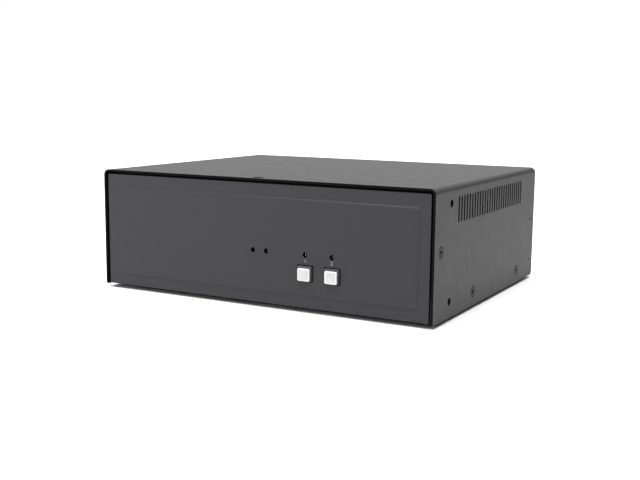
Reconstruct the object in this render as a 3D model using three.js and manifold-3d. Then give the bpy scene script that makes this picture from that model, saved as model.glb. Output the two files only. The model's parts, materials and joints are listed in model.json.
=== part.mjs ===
// Two-port desktop KVM switch in a folded steel case, as separate pieces.
// Millimetres, +Z up, front towards -Y, origin at the bottom centre of the whole object.
import * as THREE from 'three';
import { mergeVertices } from 'three/addons/utils/BufferGeometryUtils.js';
import Module from 'manifold-3d';

const wasm = await Module();
wasm.setup();

// ---------------------------------------------------------------- driving dimensions

const CASE_WIDTH = 210;
const CASE_DEPTH = 165.5;
const CASE_HEIGHT = 68.5;
const FOOT_DROP = 2; // the feet stand this far below the cover's lower edge
const SHEET = 1.2; // thickness of every folded steel sheet
const COVER_BEND = 3.2; // outer radius of the cover's two long bends
const EDGE_GAP = 1.2; // dark line between the cover and the front and rear panels
const SLIP = 0.3; // clearance between sheets that lie on each other
const TOUCH = 0.05; // clearance between pieces that rest on each other
const PANEL_INSET = 0.7; // front and rear panels stand back this far inside the cover
const PANEL_LIFT = 0.6; // panels and tray end this far above the cover's lower edge

const SLOT = { count: 27, pitch: 4, first: 32, width: 1.9, low: 48.4, high: 62.4 };
const SCREW = { headRadius: 2.8, shankRadius: 1.45, length: 6, sink: 0.05, clearance: 0.4 };
const RECESS = { arm: 1.7, blade: 0.36, depth: 1 }; // cross recess of the cover screws
const SIDE_SCREWS = { front: [8.4, 36.2], middle: [56.4, 7.8], rear: [132.7, 7.8] };
const TOP_SCREW_DEPTH = 4.4; // distance of the top screw behind the cover's front edge
const BRACKET_HOLES = [[21.5, 59.4], [21.5, 8.7]]; // M4 holes for rack ears
const BRACKET_RADIUS = 2;
const BRACKET_THREAD = 1.65; // core of the tapped holes behind them
const PEG_HOLES = [[158.4, 36.4, 1.1], [159.1, 10.6, 0.8]]; // small holes over the rear panel's flange
const SIDE_CORNERS = { front: 1.3, rear: 2.8 }; // rounded lower corners of the cover's side walls
const TRAY = { wallTop: 14, bend: 1.8 };

// Flanges behind a panel's plate: a short web carries a wing that lies against the cover.
const FLANGE = { joggle: 0.6, web: 2.2, back: 14, low: 16, high: 64, root: 0.2, inside: 0.1 };
const TOP_FLANGE = { halfWidth: 98, web: 2.1, thickness: 1.6 };
const BOTTOM_FLANGE = { halfWidth: 95, back: 12 };
const LUG = { low: 53, high: 64, back: 28 }; // the front flanges reach back to the upper bracket hole here

const PLATEAU = { halfWidth: 97, low: 6.6, high: 59.4, rise: 0.6, bevel: 1.3, corner: 2.6 };
const BUTTON = { xs: [31.9, 48.2], height: 19.6 };
const WINDOW = { width: 9.8, height: 9, corner: 0.5 };
const PLUNGER = { width: 8.5, height: 8, front: -1.1, shoulder: 5, tail: 7.4, stemRadius: 1.8, corner: 0.6 };
const LENS = { width: 7.3, height: 6.8, lower: 0.5, front: -2, back: -1.15, corner: 0.9, bevel: 0.25 };
const SWITCH = { side: 11, front: 2.2, back: 11.2, well: 8.9, wellFloor: 9.4 };
const SWITCH_PIN = { spread: 3.8, reach: 3, radius: 0.4 };
const SPRING = { radius: 2.95, wire: 0.25, turns: 3.5, stepsPerTurn: 10 };
const LED = { height: 29.5, hole: 1.4, radius: 1.5, tip: 1.9, rim: 6.2, rimRadius: 1.9, base: 7.2 };
const LEAD = { offset: 1.27, half: 0.25, past: 1 }; // the two square leads of a lamp
const LED_SPOTS = { status_a: -0.8, status_b: 7.6, port_1: 31.7, port_2: 47.9 };

const BOARD = { halfWidth: 95, front: 42, back: 162, thickness: 1.6, lowest: 8, pitch: 19.6 };
const STACK = { x: 89, front: 48, rear: 150 }; // spacer stacks near the boards' corners
const STACK_SPOTS = {
  front_left: [-STACK.x, STACK.front],
  front_right: [STACK.x, STACK.front],
  rear_left: [-STACK.x, STACK.rear],
  rear_right: [STACK.x, STACK.rear],
};
const SPACER = { hexRadius: 3.1, studRadius: 1.45, boardHole: 1.75, boreRadius: 1.6, boreDepth: 7 };
const STACK_SCREW = { headRadius: 2.8, headHeight: 2, length: 6.6, arm: 1.7, blade: 0.35 };
const FRONT_BOARD = { left: -8, right: 60, low: 12, high: 36, front: 11.5, back: 13.1 };
const FRONT_STUDS = [[18, 18], [18, 33]]; // studs on the front panel that carry the front board
const STUD_RADIUS = 2.5;
const RIBBON = { x: 14, width: 12.7, thickness: 0.9, height: 24, bend: 5, fall: 49 };
const HEADER = { width: 16, height: 6, reach: 5.6 };
const HEAT_SINK = { x: 34, y: 96, width: 32, length: 30, base: 2.4, height: 12, fins: 8, fin: 1.2 };

const FOOT = { x: 88, inset: 22, topRadius: 6.5, lowRadius: 5.4, edge: 0.4 };
const REAR_PROUD = 2; // audio barrels stand this far behind the cover, as the lenses do in front

// ---------------------------------------------------------------- places worked out from them

const FRONT = -CASE_DEPTH / 2;
const fromFront = (distance) => FRONT + distance;
const above = (height) => FOOT_DROP + height;
const INNER_X = CASE_WIDTH / 2 - SHEET; // inner face of the cover's side walls
const PANEL_HALF = INNER_X - EDGE_GAP;
const PANEL_TOP = CASE_HEIGHT - SHEET - EDGE_GAP;
const FLANGE_X = INNER_X - SLIP; // outer face of the flanges behind the cover's side walls
const TRAY_FLOOR = PANEL_LIFT + SHEET; // upper face of the tray's floor
const PANEL_BACK = PANEL_INSET + SHEET; // front panel's inner face, from the front edge
const REAR_INNER = CASE_DEPTH - PANEL_BACK; // rear panel's inner face, from the front edge
const REAR_OUTER = CASE_DEPTH - PANEL_INSET;
const boardLow = (level) => BOARD.lowest + level * BOARD.pitch;
const boardTop = (level) => boardLow(level) + BOARD.thickness;

// ---------------------------------------------------------------- solids

const ROUND = 16; // sides of a round hole or pin
const ARC = 2; // an arc in an outline gets twice this many chords
const toX = new THREE.Matrix4().makeBasis(
  new THREE.Vector3(0, 1, 0), new THREE.Vector3(0, 0, 1), new THREE.Vector3(1, 0, 0));

function solid(geometry) {
  geometry.deleteAttribute('normal');
  geometry.deleteAttribute('uv');
  const merged = mergeVertices(geometry, 1e-4);
  return new wasm.Manifold(new wasm.Mesh({
    numProp: 3,
    vertProperties: new Float32Array(merged.attributes.position.array),
    triVerts: new Uint32Array(merged.index.array),
  }));
}

function geometryOf(body) {
  const mesh = body.getMesh();
  const geometry = new THREE.BufferGeometry();
  geometry.setAttribute('position', new THREE.BufferAttribute(new Float32Array(mesh.vertProperties), 3));
  geometry.setIndex(new THREE.BufferAttribute(new Uint32Array(mesh.triVerts), 1));
  geometry.computeVertexNormals();
  return geometry;
}

function join(bodies) {
  return bodies.reduce((whole, body) => whole.add(body));
}

function cut(body, cutters) {
  return cutters.reduce((rest, cutter) => rest.subtract(cutter), body);
}

// A block from its low corner to its high corner: x, then distance from the front, then height.
function block([x0, y0, z0], [x1, y1, z1]) {
  const geometry = new THREE.BoxGeometry(x1 - x0, y1 - y0, z1 - z0);
  geometry.translate((x0 + x1) / 2, fromFront((y0 + y1) / 2), above((z0 + z1) / 2));
  return solid(geometry);
}

// An outline in (x, height), pulled from one distance behind the front edge to another.
function prismY(outline, near, far, options = {}) {
  const settings = { depth: far - near, bevelEnabled: false, curveSegments: ARC, ...options };
  const geometry = new THREE.ExtrudeGeometry(outline, settings);
  geometry.rotateX(Math.PI / 2);
  geometry.translate(0, fromFront(far), above(0));
  return solid(geometry);
}

// An outline in (distance from the front, height), pulled along X.
function prismX(outline, left, right, curveSegments = ARC) {
  const settings = { depth: right - left, bevelEnabled: false, curveSegments };
  const geometry = new THREE.ExtrudeGeometry(outline, settings);
  geometry.applyMatrix4(toX);
  geometry.translate(left, fromFront(0), above(0));
  return solid(geometry);
}

function roundedRect(cx, cz, width, height, radius) {
  const left = cx - width / 2;
  const low = cz - height / 2;
  const shape = new THREE.Shape();
  shape.absarc(left + radius, low + radius, radius, Math.PI, 1.5 * Math.PI);
  shape.absarc(left + width - radius, low + radius, radius, 1.5 * Math.PI, 2 * Math.PI);
  shape.absarc(left + width - radius, low + height - radius, radius, 0, 0.5 * Math.PI);
  shape.absarc(left + radius, low + height - radius, radius, 0.5 * Math.PI, Math.PI);
  return shape;
}

// Upright slot with round ends.
function stadium(middle, low, high, radius) {
  const shape = new THREE.Shape();
  shape.absarc(middle, high - radius, radius, 0, Math.PI);
  shape.absarc(middle, low + radius, radius, Math.PI, 2 * Math.PI);
  return shape;
}

function polygon(points) {
  return new THREE.Shape(points.map(([a, b]) => new THREE.Vector2(a, b)));
}

// A round bar along Y, from one distance behind the front edge to another.
function barY(x, z, radius, near, far, sides = ROUND) {
  const geometry = new THREE.CylinderGeometry(radius, radius, far - near, sides);
  geometry.translate(x, fromFront((near + far) / 2), above(z));
  return solid(geometry);
}

// A round bar along Z, from one height to another.
function barZ(x, y, radius, low, high, sides = ROUND) {
  const geometry = new THREE.CylinderGeometry(radius, radius, high - low, sides);
  geometry.rotateX(Math.PI / 2);
  geometry.translate(x, fromFront(y), above((low + high) / 2));
  return solid(geometry);
}

// A body turned about its own axis: the profile holds (radius, distance along the axis).
function turned(profile, sides = ROUND) {
  return new THREE.LatheGeometry(profile.map(([r, d]) => new THREE.Vector2(r, d)), sides);
}

// ---------------------------------------------------------------- sheet metal

// A folded channel: floor or roof at one end and a wall on each side, in (x, height).
function channelOutline(halfWidth, low, high, radius, openDown) {
  const inner = radius - SHEET;
  const bend = openDown ? high - radius : low + radius;
  const end = openDown ? low : high;
  const turn = openDown ? 1 : -1;
  const shape = new THREE.Shape();
  shape.moveTo(halfWidth, end);
  shape.lineTo(halfWidth, bend);
  shape.absarc(halfWidth - radius, bend, radius, 0, turn * Math.PI / 2, !openDown);
  shape.absarc(radius - halfWidth, bend, radius, turn * Math.PI / 2, turn * Math.PI, !openDown);
  shape.lineTo(-halfWidth, end);
  shape.lineTo(SHEET - halfWidth, end);
  shape.absarc(radius - halfWidth, bend, inner, turn * Math.PI, turn * Math.PI / 2, openDown);
  shape.absarc(halfWidth - radius, bend, inner, turn * Math.PI / 2, 0, openDown);
  shape.lineTo(halfWidth - SHEET, end);
  return shape;
}

// Drill along X through both side walls at (distance from the front, height).
function sideDrill([y, z], radius) {
  const geometry = new THREE.CylinderGeometry(radius, radius, CASE_WIDTH + 2, ROUND);
  geometry.rotateZ(Math.PI / 2);
  geometry.translate(0, fromFront(y), above(z));
  return solid(geometry);
}

// Countersunk screw: its flat head faces up at 0, and the shank hangs below it.
function screwProfile() {
  const { headRadius, shankRadius, length, sink } = SCREW;
  return [[0, -length], [shankRadius, -length], [shankRadius, sink - SHEET], [headRadius, 0], [0, 0]];
}

// The hole for it: a cone through the sheet that opens out past the surface.
function sinkProfile() {
  const { headRadius, shankRadius, sink, clearance } = SCREW;
  const wide = headRadius + clearance;
  const thin = shankRadius + clearance;
  const past = 1;
  const spread = (wide - thin) / (SHEET - sink);
  return [[0, -2 * SHEET], [thin, -2 * SHEET], [thin, sink - SHEET], [wide + spread * past, past], [0, past]];
}

// Places a turned body, made along +Y with its outer face at 0, on the case's outer face.
function onFace(geometry, side, [y, z]) {
  if (side === 'top') {
    geometry.rotateX(Math.PI / 2);
    geometry.translate(0, fromFront(y), above(CASE_HEIGHT) - SCREW.sink);
    return geometry;
  }
  const sign = side === 'right' ? 1 : -1;
  geometry.rotateZ(-sign * Math.PI / 2);
  geometry.translate(sign * (CASE_WIDTH / 2 - SCREW.sink), fromFront(y), above(z));
  return geometry;
}

function screwPlaces() {
  const places = [];
  for (const side of ['right', 'left']) {
    for (const [place, spot] of Object.entries(SIDE_SCREWS)) {
      places.push({ name: `cover_screw_${side}_${place}`, side, spot });
    }
  }
  places.push({ name: 'cover_screw_top', side: 'top', spot: [TOP_SCREW_DEPTH, 0] });
  return places;
}

function ventCutters() {
  const cutters = [];
  const reach = CASE_WIDTH / 2 + 1;
  for (let index = 0; index < SLOT.count; index += 1) {
    const y = SLOT.first + index * SLOT.pitch;
    cutters.push(prismX(stadium(y, SLOT.low, SLOT.high, SLOT.width / 2), -reach, reach));
  }
  return cutters;
}

function cover() {
  const outline = channelOutline(CASE_WIDTH / 2, 0, CASE_HEIGHT, COVER_BEND, true);
  const folded = prismY(outline, 0, CASE_DEPTH, { curveSegments: 5 });
  const { front, rear } = SIDE_CORNERS;
  const side = new THREE.Shape();
  side.absarc(front, front, front, Math.PI, 1.5 * Math.PI);
  side.absarc(CASE_DEPTH - rear, rear, rear, 1.5 * Math.PI, 2 * Math.PI);
  side.lineTo(CASE_DEPTH, CASE_HEIGHT + 1);
  side.lineTo(0, CASE_HEIGHT + 1);
  const trimmed = folded.intersect(prismX(side, -CASE_WIDTH, CASE_WIDTH));
  const sinks = screwPlaces().map(({ side: face, spot }) => (
    solid(onFace(turned(sinkProfile()), face, spot))));
  const brackets = BRACKET_HOLES.map((spot) => sideDrill(spot, BRACKET_RADIUS));
  const pegs = PEG_HOLES.map(([y, z, radius]) => sideDrill([y, z], radius));
  return cut(trimmed, [...ventCutters(), ...sinks, ...brackets, ...pegs]);
}

function chassisTray() {
  const outline = channelOutline(FLANGE_X, PANEL_LIFT, TRAY.wallTop, TRAY.bend, false);
  const folded = prismY(outline, PANEL_BACK + SLIP, REAR_INNER - SLIP);
  const threads = [SIDE_SCREWS.middle, SIDE_SCREWS.rear].map((spot) => sideDrill(spot, SPACER.boreRadius));
  const bracket = sideDrill(BRACKET_HOLES[1], BRACKET_THREAD);
  return cut(folded, [...threads, bracket]);
}

// Flat plate, its four edges slightly rounded on the outer side, in the panel's opening.
function panelPlate(near) {
  const edge = 0.35;
  const corner = 0.8;
  const width = 2 * (PANEL_HALF - edge);
  const height = PANEL_TOP - PANEL_LIFT - 2 * edge;
  const outline = roundedRect(0, (PANEL_TOP + PANEL_LIFT) / 2, width, height, corner);
  const bevel = { bevelEnabled: true, bevelSize: edge, bevelThickness: edge, bevelSegments: 2 };
  return prismY(outline, near + edge, near + SHEET - edge, bevel);
}

// Flanges along the side walls: inward is 1 behind the front panel and -1 before the rear panel.
function sideFlanges(root, inward) {
  const end = inward > 0 ? FLANGE.back : CASE_DEPTH - FLANGE.back;
  const bodies = [];
  const slab = (sign, [x0, x1], y0, y1, low, high) => {
    const [left, right] = sign > 0 ? [x0, x1] : [-x1, -x0];
    bodies.push(block([left, Math.min(y0, y1), low], [right, Math.max(y0, y1), high]));
  };
  const web = [PANEL_HALF - SHEET, PANEL_HALF - FLANGE.inside];
  const wing = [FLANGE_X - SHEET, FLANGE_X];
  for (const sign of [-1, 1]) {
    slab(sign, web, root, root + inward * FLANGE.web, FLANGE.low, FLANGE.high);
    slab(sign, wing, root + inward * FLANGE.joggle, end, FLANGE.low, FLANGE.high);
    if (inward > 0) {
      slab(sign, wing, end - 1, LUG.back, LUG.low, LUG.high);
    }
  }
  return bodies;
}

// Flange under the roof, just behind the gap over the panel.
function topFlange(root, inward) {
  const half = TOP_FLANGE.halfWidth;
  const high = CASE_HEIGHT - SHEET - SLIP;
  const end = inward > 0 ? FLANGE.back : CASE_DEPTH - FLANGE.back;
  const slab = (y0, y1, low, top) => block([-half, Math.min(y0, y1), low], [half, Math.max(y0, y1), top]);
  const web = slab(root, root + inward * TOP_FLANGE.web, PANEL_TOP - SHEET, PANEL_TOP - FLANGE.inside);
  const wing = slab(root + inward * FLANGE.joggle, end, high - TOP_FLANGE.thickness, high);
  return [web, wing];
}

function bottomFlange(root) {
  const half = BOTTOM_FLANGE.halfWidth;
  const low = TRAY_FLOOR + SLIP;
  return block([-half, root, low], [half, BOTTOM_FLANGE.back, low + SHEET]);
}

// The raised field of the front panel, with sloping sides.
function plateau() {
  const { halfWidth, low, high, rise, bevel, corner } = PLATEAU;
  const width = 2 * (halfWidth - bevel);
  const outline = roundedRect(0, (low + high) / 2, width, high - low - 2 * bevel, corner - bevel);
  const slopes = { bevelEnabled: true, bevelSize: bevel, bevelThickness: rise, bevelSegments: 3 };
  return prismY(outline, PANEL_INSET, PANEL_INSET + SHEET / 2, slopes);
}

function windowCutter(x) {
  const outline = roundedRect(x, BUTTON.height, WINDOW.width, WINDOW.height, WINDOW.corner);
  return prismY(outline, -1, PANEL_BACK + 1);
}

function frontPanel() {
  const root = PANEL_BACK - FLANGE.root;
  const seat = FRONT_BOARD.front - TOUCH;
  const studs = FRONT_STUDS.map(([x, z]) => barY(x, z, STUD_RADIUS, root, seat, 12));
  const flanges = [...sideFlanges(root, 1), ...topFlange(root, 1), bottomFlange(root)];
  const whole = join([panelPlate(PANEL_INSET), plateau(), ...flanges, ...studs]);
  const lights = Object.values(LED_SPOTS).map((x) => barY(x, LED.height, LED.hole, -1, PANEL_BACK + 1));
  const topDrill = barZ(0, TOP_SCREW_DEPTH, SPACER.boreRadius, PANEL_TOP - 2 * SHEET, CASE_HEIGHT);
  const screwDrill = sideDrill(SIDE_SCREWS.front, SPACER.boreRadius);
  const bracket = sideDrill(BRACKET_HOLES[0], BRACKET_THREAD);
  return cut(whole, [...BUTTON.xs.map(windowCutter), ...lights, topDrill, screwDrill, bracket]);
}

// ---------------------------------------------------------------- rear connectors

// A socket's mouth is at depth 0, its body lies towards the front, and it sits on its board at height 0.
// Its opening goes in as far as `bore`; the contact tongue in it runs from `tip` to `root`.
const VIDEO = {
  width: 17.2, height: 6, seat: 0.5, depth: 15, bore: 11, wall: 0.5, chamfer: 2, mouthChamfer: 1.8,
};
const VIDEO_TONGUE = { half: 6.6, tip: 1.2, root: 12, halfHeight: 0.7 };
const VIDEO_LEGS = { half: 7, near: 2, far: 14, height: 1 };
const USB_A = {
  width: 13.2, height: 15.6, depth: 17.5, bore: 12, bays: [1.2, 9.2], bayHalf: 6.25, bayHeight: 5.1,
};
const USB_A_TONGUE = { half: 5.5, tip: 0.8, root: 13, low: 2.9, high: 4.7 };
const USB_B = { width: 12, height: 10.8, depth: 16, bore: 12, half: 4.25, low: 1.5, high: 9.3, chamfer: 1.6 };
const USB_B_TONGUE = { half: 2.8, tip: 1.2, root: 13, low: 3.8, high: 7 };
const AUDIO = { radius: 3.8, boreRadius: 1.8, bore: 13, seat: 1.2, half: 5.5, depth: 15, height: 10 };
const POWER = {
  half: 4.5, height: 11, depth: 14, axis: 6.2, boreRadius: 3.2, bore: 9.5, pin: 1, tip: 1, root: 10.5,
};
const SHELL_PROUD = 0.3; // metal shells end this far behind the rear panel

const SOCKETS = {
  video: { make: videoSocket, ...VIDEO, proud: SHELL_PROUD },
  usbStack: { make: usbStack, ...USB_A, seat: 0, proud: SHELL_PROUD },
  usbB: { make: usbB, ...USB_B, seat: 0, proud: SHELL_PROUD },
  audio: { make: audioJack, width: 2 * AUDIO.radius, height: 2 * AUDIO.radius, seat: AUDIO.seat,
    proud: REAR_PROUD + PANEL_INSET },
  power: { make: powerJack, width: 2 * POWER.half, height: POWER.height, seat: 0, proud: 0 },
};

const CONNECTORS = [
  ['video_socket_console_a', 'video', 0, 62], ['video_socket_console_b', 'video', 0, 38],
  ['video_socket_port_1_a', 'video', 1, 62], ['video_socket_port_1_b', 'video', 1, 38],
  ['video_socket_port_2_a', 'video', 2, 62], ['video_socket_port_2_b', 'video', 2, 38],
  ['usb_a_stack', 'usbStack', 0, 8],
  ['usb_b_socket_port_1', 'usbB', 1, 8], ['usb_b_socket_port_2', 'usbB', 2, 8],
  ['audio_jack_console_out', 'audio', 0, -18], ['audio_jack_console_mic', 'audio', 0, -34],
  ['audio_jack_port_1_out', 'audio', 1, -18], ['audio_jack_port_1_mic', 'audio', 1, -34],
  ['audio_jack_port_2_out', 'audio', 2, -18], ['audio_jack_port_2_mic', 'audio', 2, -34],
  ['power_jack', 'power', 0, -66],
];

// Local block for a socket: x about its middle, depth behind its mouth, height above its seat.
function inSocket(place, [x0, d0, z0], [x1, d1, z1]) {
  const low = [place.x + x0, place.mouth - d1, place.base + z0];
  const high = [place.x + x1, place.mouth - d0, place.base + z1];
  return block(low, high);
}

function socketOutline(place, width, height, chamfer, cz) {
  const left = place.x - width / 2;
  const right = place.x + width / 2;
  const low = place.base + cz - height / 2;
  const high = low + height;
  return polygon([[left + chamfer, low], [right, low], [right, high], [left, high], [left, low + chamfer]]);
}

function videoSocket(place) {
  const { width, height, seat, depth, bore, wall, chamfer, mouthChamfer } = VIDEO;
  const middle = seat + height / 2;
  const outer = socketOutline(place, width, height, chamfer, middle);
  const shell = prismY(outer, place.mouth - depth, place.mouth);
  const inner = socketOutline(place, width - 2 * wall, height - 2 * wall, mouthChamfer, middle);
  const mouth = prismY(inner, place.mouth - bore, place.mouth + 1);
  const { half, tip, root, halfHeight } = VIDEO_TONGUE;
  const tongue = inSocket(place, [-half, tip, middle - halfHeight], [half, root, middle + halfHeight]);
  const feet = VIDEO_LEGS;
  const legs = inSocket(place, [-feet.half, feet.near, 0], [feet.half, feet.far, feet.height]);
  return join([cut(shell, [mouth]), tongue, legs]);
}

// Two sockets, one over the other, in one shell.
function usbStack(place) {
  const { width, height, depth, bore, bays, bayHalf, bayHeight } = USB_A;
  const { half, tip, root, low, high } = USB_A_TONGUE;
  const shell = inSocket(place, [-width / 2, 0, 0], [width / 2, depth, height]);
  const mouths = bays.map((bay) => inSocket(place, [-bayHalf, -1, bay], [bayHalf, bore, bay + bayHeight]));
  const tongues = bays.map((bay) => inSocket(place, [-half, tip, bay + low], [half, root, bay + high]));
  return join([cut(shell, mouths), ...tongues]);
}

// Nearly square socket whose mouth has two chamfered upper corners.
function usbB(place) {
  const { width, height, depth, bore, half, chamfer } = USB_B;
  const shell = inSocket(place, [-width / 2, 0, 0], [width / 2, depth, height]);
  const low = place.base + USB_B.low;
  const high = place.base + USB_B.high;
  const { x } = place;
  const outline = polygon([
    [x - half, low], [x + half, low], [x + half, high - chamfer],
    [x + half - chamfer, high], [x - half + chamfer, high], [x - half, high - chamfer]]);
  const mouth = prismY(outline, place.mouth - bore, place.mouth + 1);
  const end = USB_B_TONGUE;
  const tongue = inSocket(place, [-end.half, end.tip, end.low], [end.half, end.root, end.high]);
  return join([cut(shell, [mouth]), tongue]);
}

function audioJack(place) {
  const { radius, boreRadius, bore, seat, half, depth, height } = AUDIO;
  const axis = place.base + seat + radius;
  const inset = SOCKETS.audio.proud + SHEET + SLIP;
  const housing = inSocket(place, [-half, inset, 0], [half, depth, height]);
  const barrel = barY(place.x, axis, radius, place.mouth - inset - 1, place.mouth);
  const hole = barY(place.x, axis, boreRadius, place.mouth - bore, place.mouth + 1, 12);
  return cut(join([housing, barrel]), [hole]);
}

function powerJack(place) {
  const { half, height, depth, axis, boreRadius, bore, pin, tip, root } = POWER;
  const housing = inSocket(place, [-half, 0, 0], [half, depth, height]);
  const hole = barY(place.x, place.base + axis, boreRadius, place.mouth - bore, place.mouth + 1);
  const contact = barY(place.x, place.base + axis, pin, place.mouth - root, place.mouth - tip, 12);
  return join([cut(housing, [hole]), contact]);
}

function connectorPlace([name, kind, level, x]) {
  const socket = SOCKETS[kind];
  return { name, kind, x, base: boardTop(level) + TOUCH, mouth: REAR_OUTER + socket.proud };
}

function connectorCutter(place) {
  const { width, height, seat } = SOCKETS[place.kind];
  const near = REAR_INNER - 2;
  const far = REAR_OUTER + 1;
  const middle = place.base + seat + height / 2;
  if (place.kind === 'audio') {
    return barY(place.x, middle, width / 2 + SLIP, near, far);
  }
  const wide = width / 2 + SLIP;
  const tall = height / 2 + SLIP;
  return block([place.x - wide, near, middle - tall], [place.x + wide, far, middle + tall]);
}

function rearPanel() {
  const root = REAR_INNER + FLANGE.root;
  const flanges = [...sideFlanges(root, -1), ...topFlange(root, -1)];
  const whole = join([panelPlate(REAR_INNER), ...flanges]);
  return cut(whole, CONNECTORS.map(connectorPlace).map(connectorCutter));
}

// ---------------------------------------------------------------- boards and what carries them

function stackedBoard(level) {
  const low = boardLow(level);
  const high = boardTop(level);
  const plate = block([-BOARD.halfWidth, BOARD.front, low], [BOARD.halfWidth, BOARD.back, high]);
  const drill = ([x, y]) => barZ(x, y, SPACER.boardHole, low - 1, high + 1, 8);
  return cut(plate, Object.values(STACK_SPOTS).map(drill));
}

// Three hexagon spacers screwed into each other through the boards, with a threaded bore on top.
function spacerStack([x, y]) {
  const bodies = [barZ(x, y, SPACER.hexRadius, TRAY_FLOOR + TOUCH, boardLow(0) - TOUCH, 6)];
  for (const level of [0, 1]) {
    bodies.push(barZ(x, y, SPACER.studRadius, boardLow(level) - 1, boardTop(level) + 1, 8));
    bodies.push(barZ(x, y, SPACER.hexRadius, boardTop(level) + TOUCH, boardLow(level + 1) - TOUCH, 6));
  }
  const top = boardLow(2);
  const bore = barZ(x, y, SPACER.boreRadius, top - SPACER.boreDepth, top + 1, 12);
  return cut(join(bodies), [bore]);
}

// Pan head screw that holds the top board on its spacer.
function stackScrew([x, y]) {
  const seat = boardTop(2) + TOUCH;
  const { headRadius, headHeight, length, arm, blade } = STACK_SCREW;
  const profile = [[0, -length], [SCREW.shankRadius, -length], [SCREW.shankRadius, 0], [headRadius, 0],
    [headRadius, headHeight / 2], [headRadius * 0.75, headHeight], [0, headHeight]];
  const geometry = turned(profile, 12);
  geometry.rotateX(Math.PI / 2);
  geometry.translate(x, fromFront(y), above(seat));
  const recess = [[arm, blade], [blade, arm]].map(([a, b]) => (
    block([x - a, y - b, seat + headHeight - 1], [x + a, y + b, seat + headHeight + 1])));
  return cut(solid(geometry), recess);
}

// Places of a switch's four pins, as (x, height).
function switchPins(x) {
  const signs = [[-1, -1], [1, -1], [-1, 1], [1, 1]];
  return signs.map(([a, b]) => [x + a * SWITCH_PIN.spread, BUTTON.height + b * SWITCH_PIN.spread]);
}

function leadPlaces(x) {
  return [[x - LEAD.offset, LED.height], [x + LEAD.offset, LED.height]];
}

function frontBoard() {
  const { left, right, low, high, front, back } = FRONT_BOARD;
  const plate = block([left, front, low], [right, back, high]);
  const pins = BUTTON.xs.flatMap(switchPins);
  const leads = Object.values(LED_SPOTS).flatMap(leadPlaces);
  const drill = 0.6;
  return cut(plate, [...pins, ...leads].map(([x, z]) => barY(x, z, drill, front - 1, back + 1, 6)));
}

function ribbonHeaderFront() {
  const { x, height } = RIBBON;
  const half = HEADER.width / 2;
  const tall = HEADER.height / 2;
  const near = FRONT_BOARD.back + TOUCH;
  return block([x - half, near, height - tall], [x + half, near + HEADER.reach, height + tall]);
}

function ribbonHeaderConsole() {
  const { x, fall } = RIBBON;
  const half = HEADER.width / 2;
  const low = boardTop(0) + TOUCH;
  const tall = HEADER.height / 2;
  return block([x - half, fall - tall, low], [x + half, fall + tall, low + HEADER.reach]);
}

// Flat ribbon: straight back from the front board, then a quarter bend down to the console board.
function ribbonCable() {
  const { x, width, thickness, height, bend, fall } = RIBBON;
  const half = thickness / 2;
  const start = FRONT_BOARD.back + TOUCH + HEADER.reach + SLIP;
  const end = boardTop(0) + TOUCH + HEADER.reach + SLIP;
  const shape = new THREE.Shape();
  shape.moveTo(start, height - half);
  shape.lineTo(fall - bend, height - half);
  shape.absarc(fall - bend, height - bend, bend - half, Math.PI / 2, 0, true);
  shape.lineTo(fall - half, end);
  shape.lineTo(fall + half, end);
  shape.absarc(fall - bend, height - bend, bend + half, 0, Math.PI / 2, false);
  shape.lineTo(start, height + half);
  return prismX(shape, x - width / 2, x + width / 2, 4);
}

// Extruded cooler on the console board: a base with a row of fins.
function heatSink() {
  const { x, y, width, length, base, height, fins, fin } = HEAT_SINK;
  const low = boardTop(0) + TOUCH;
  const step = (width - fin) / (fins - 1);
  const bodies = [block([x - width / 2, y, low], [x + width / 2, y + length, low + base])];
  for (let index = 0; index < fins; index += 1) {
    const left = x - width / 2 + index * step;
    bodies.push(block([left, y, low + base / 2], [left + fin, y + length, low + height]));
  }
  return join(bodies);
}

// ---------------------------------------------------------------- buttons and lights

function switchBody(x) {
  const half = SWITCH.side / 2;
  const low = BUTTON.height - half;
  const housing = block([x - half, SWITCH.front, low], [x + half, SWITCH.back, low + SWITCH.side]);
  const outline = roundedRect(x, BUTTON.height, SWITCH.well, SWITCH.well, PLUNGER.corner);
  const well = prismY(outline, 0, SWITCH.wellFloor);
  const end = SWITCH.back + SWITCH_PIN.reach;
  const pins = switchPins(x).map(([px, pz]) => barY(px, pz, SWITCH_PIN.radius, SWITCH.back - 1, end, 6));
  return join([cut(housing, [well]), ...pins]);
}

function switchPlunger(x) {
  const outline = roundedRect(x, BUTTON.height, PLUNGER.width, PLUNGER.height, PLUNGER.corner);
  const head = prismY(outline, PLUNGER.front, PLUNGER.shoulder);
  const stem = barY(x, BUTTON.height, PLUNGER.stemRadius, PLUNGER.shoulder - 1, PLUNGER.tail, 12);
  return join([head, stem]);
}

// The lens sits a little low on its plunger.
function switchLens(x) {
  const { bevel } = LENS;
  const middle = BUTTON.height - LENS.lower;
  const width = LENS.width - 2 * bevel;
  const height = LENS.height - 2 * bevel;
  const outline = roundedRect(x, middle, width, height, LENS.corner - bevel);
  return prismY(outline, LENS.front + bevel, LENS.back - bevel, {
    bevelEnabled: true, bevelSize: bevel, bevelThickness: bevel, bevelSegments: 2 });
}

// Return spring round the plunger's stem, as a wire drawn along a helix.
class Helix extends THREE.Curve {
  constructor(x, z, near, far) {
    super();
    this.centre = [x, z];
    this.span = [near, far];
  }

  getPoint(t, target = new THREE.Vector3()) {
    const angle = t * SPRING.turns * 2 * Math.PI;
    const along = this.span[0] + t * (this.span[1] - this.span[0]);
    const x = this.centre[0] + SPRING.radius * Math.cos(angle);
    const z = this.centre[1] + SPRING.radius * Math.sin(angle);
    return target.set(x, fromFront(along), above(z));
  }
}

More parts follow.
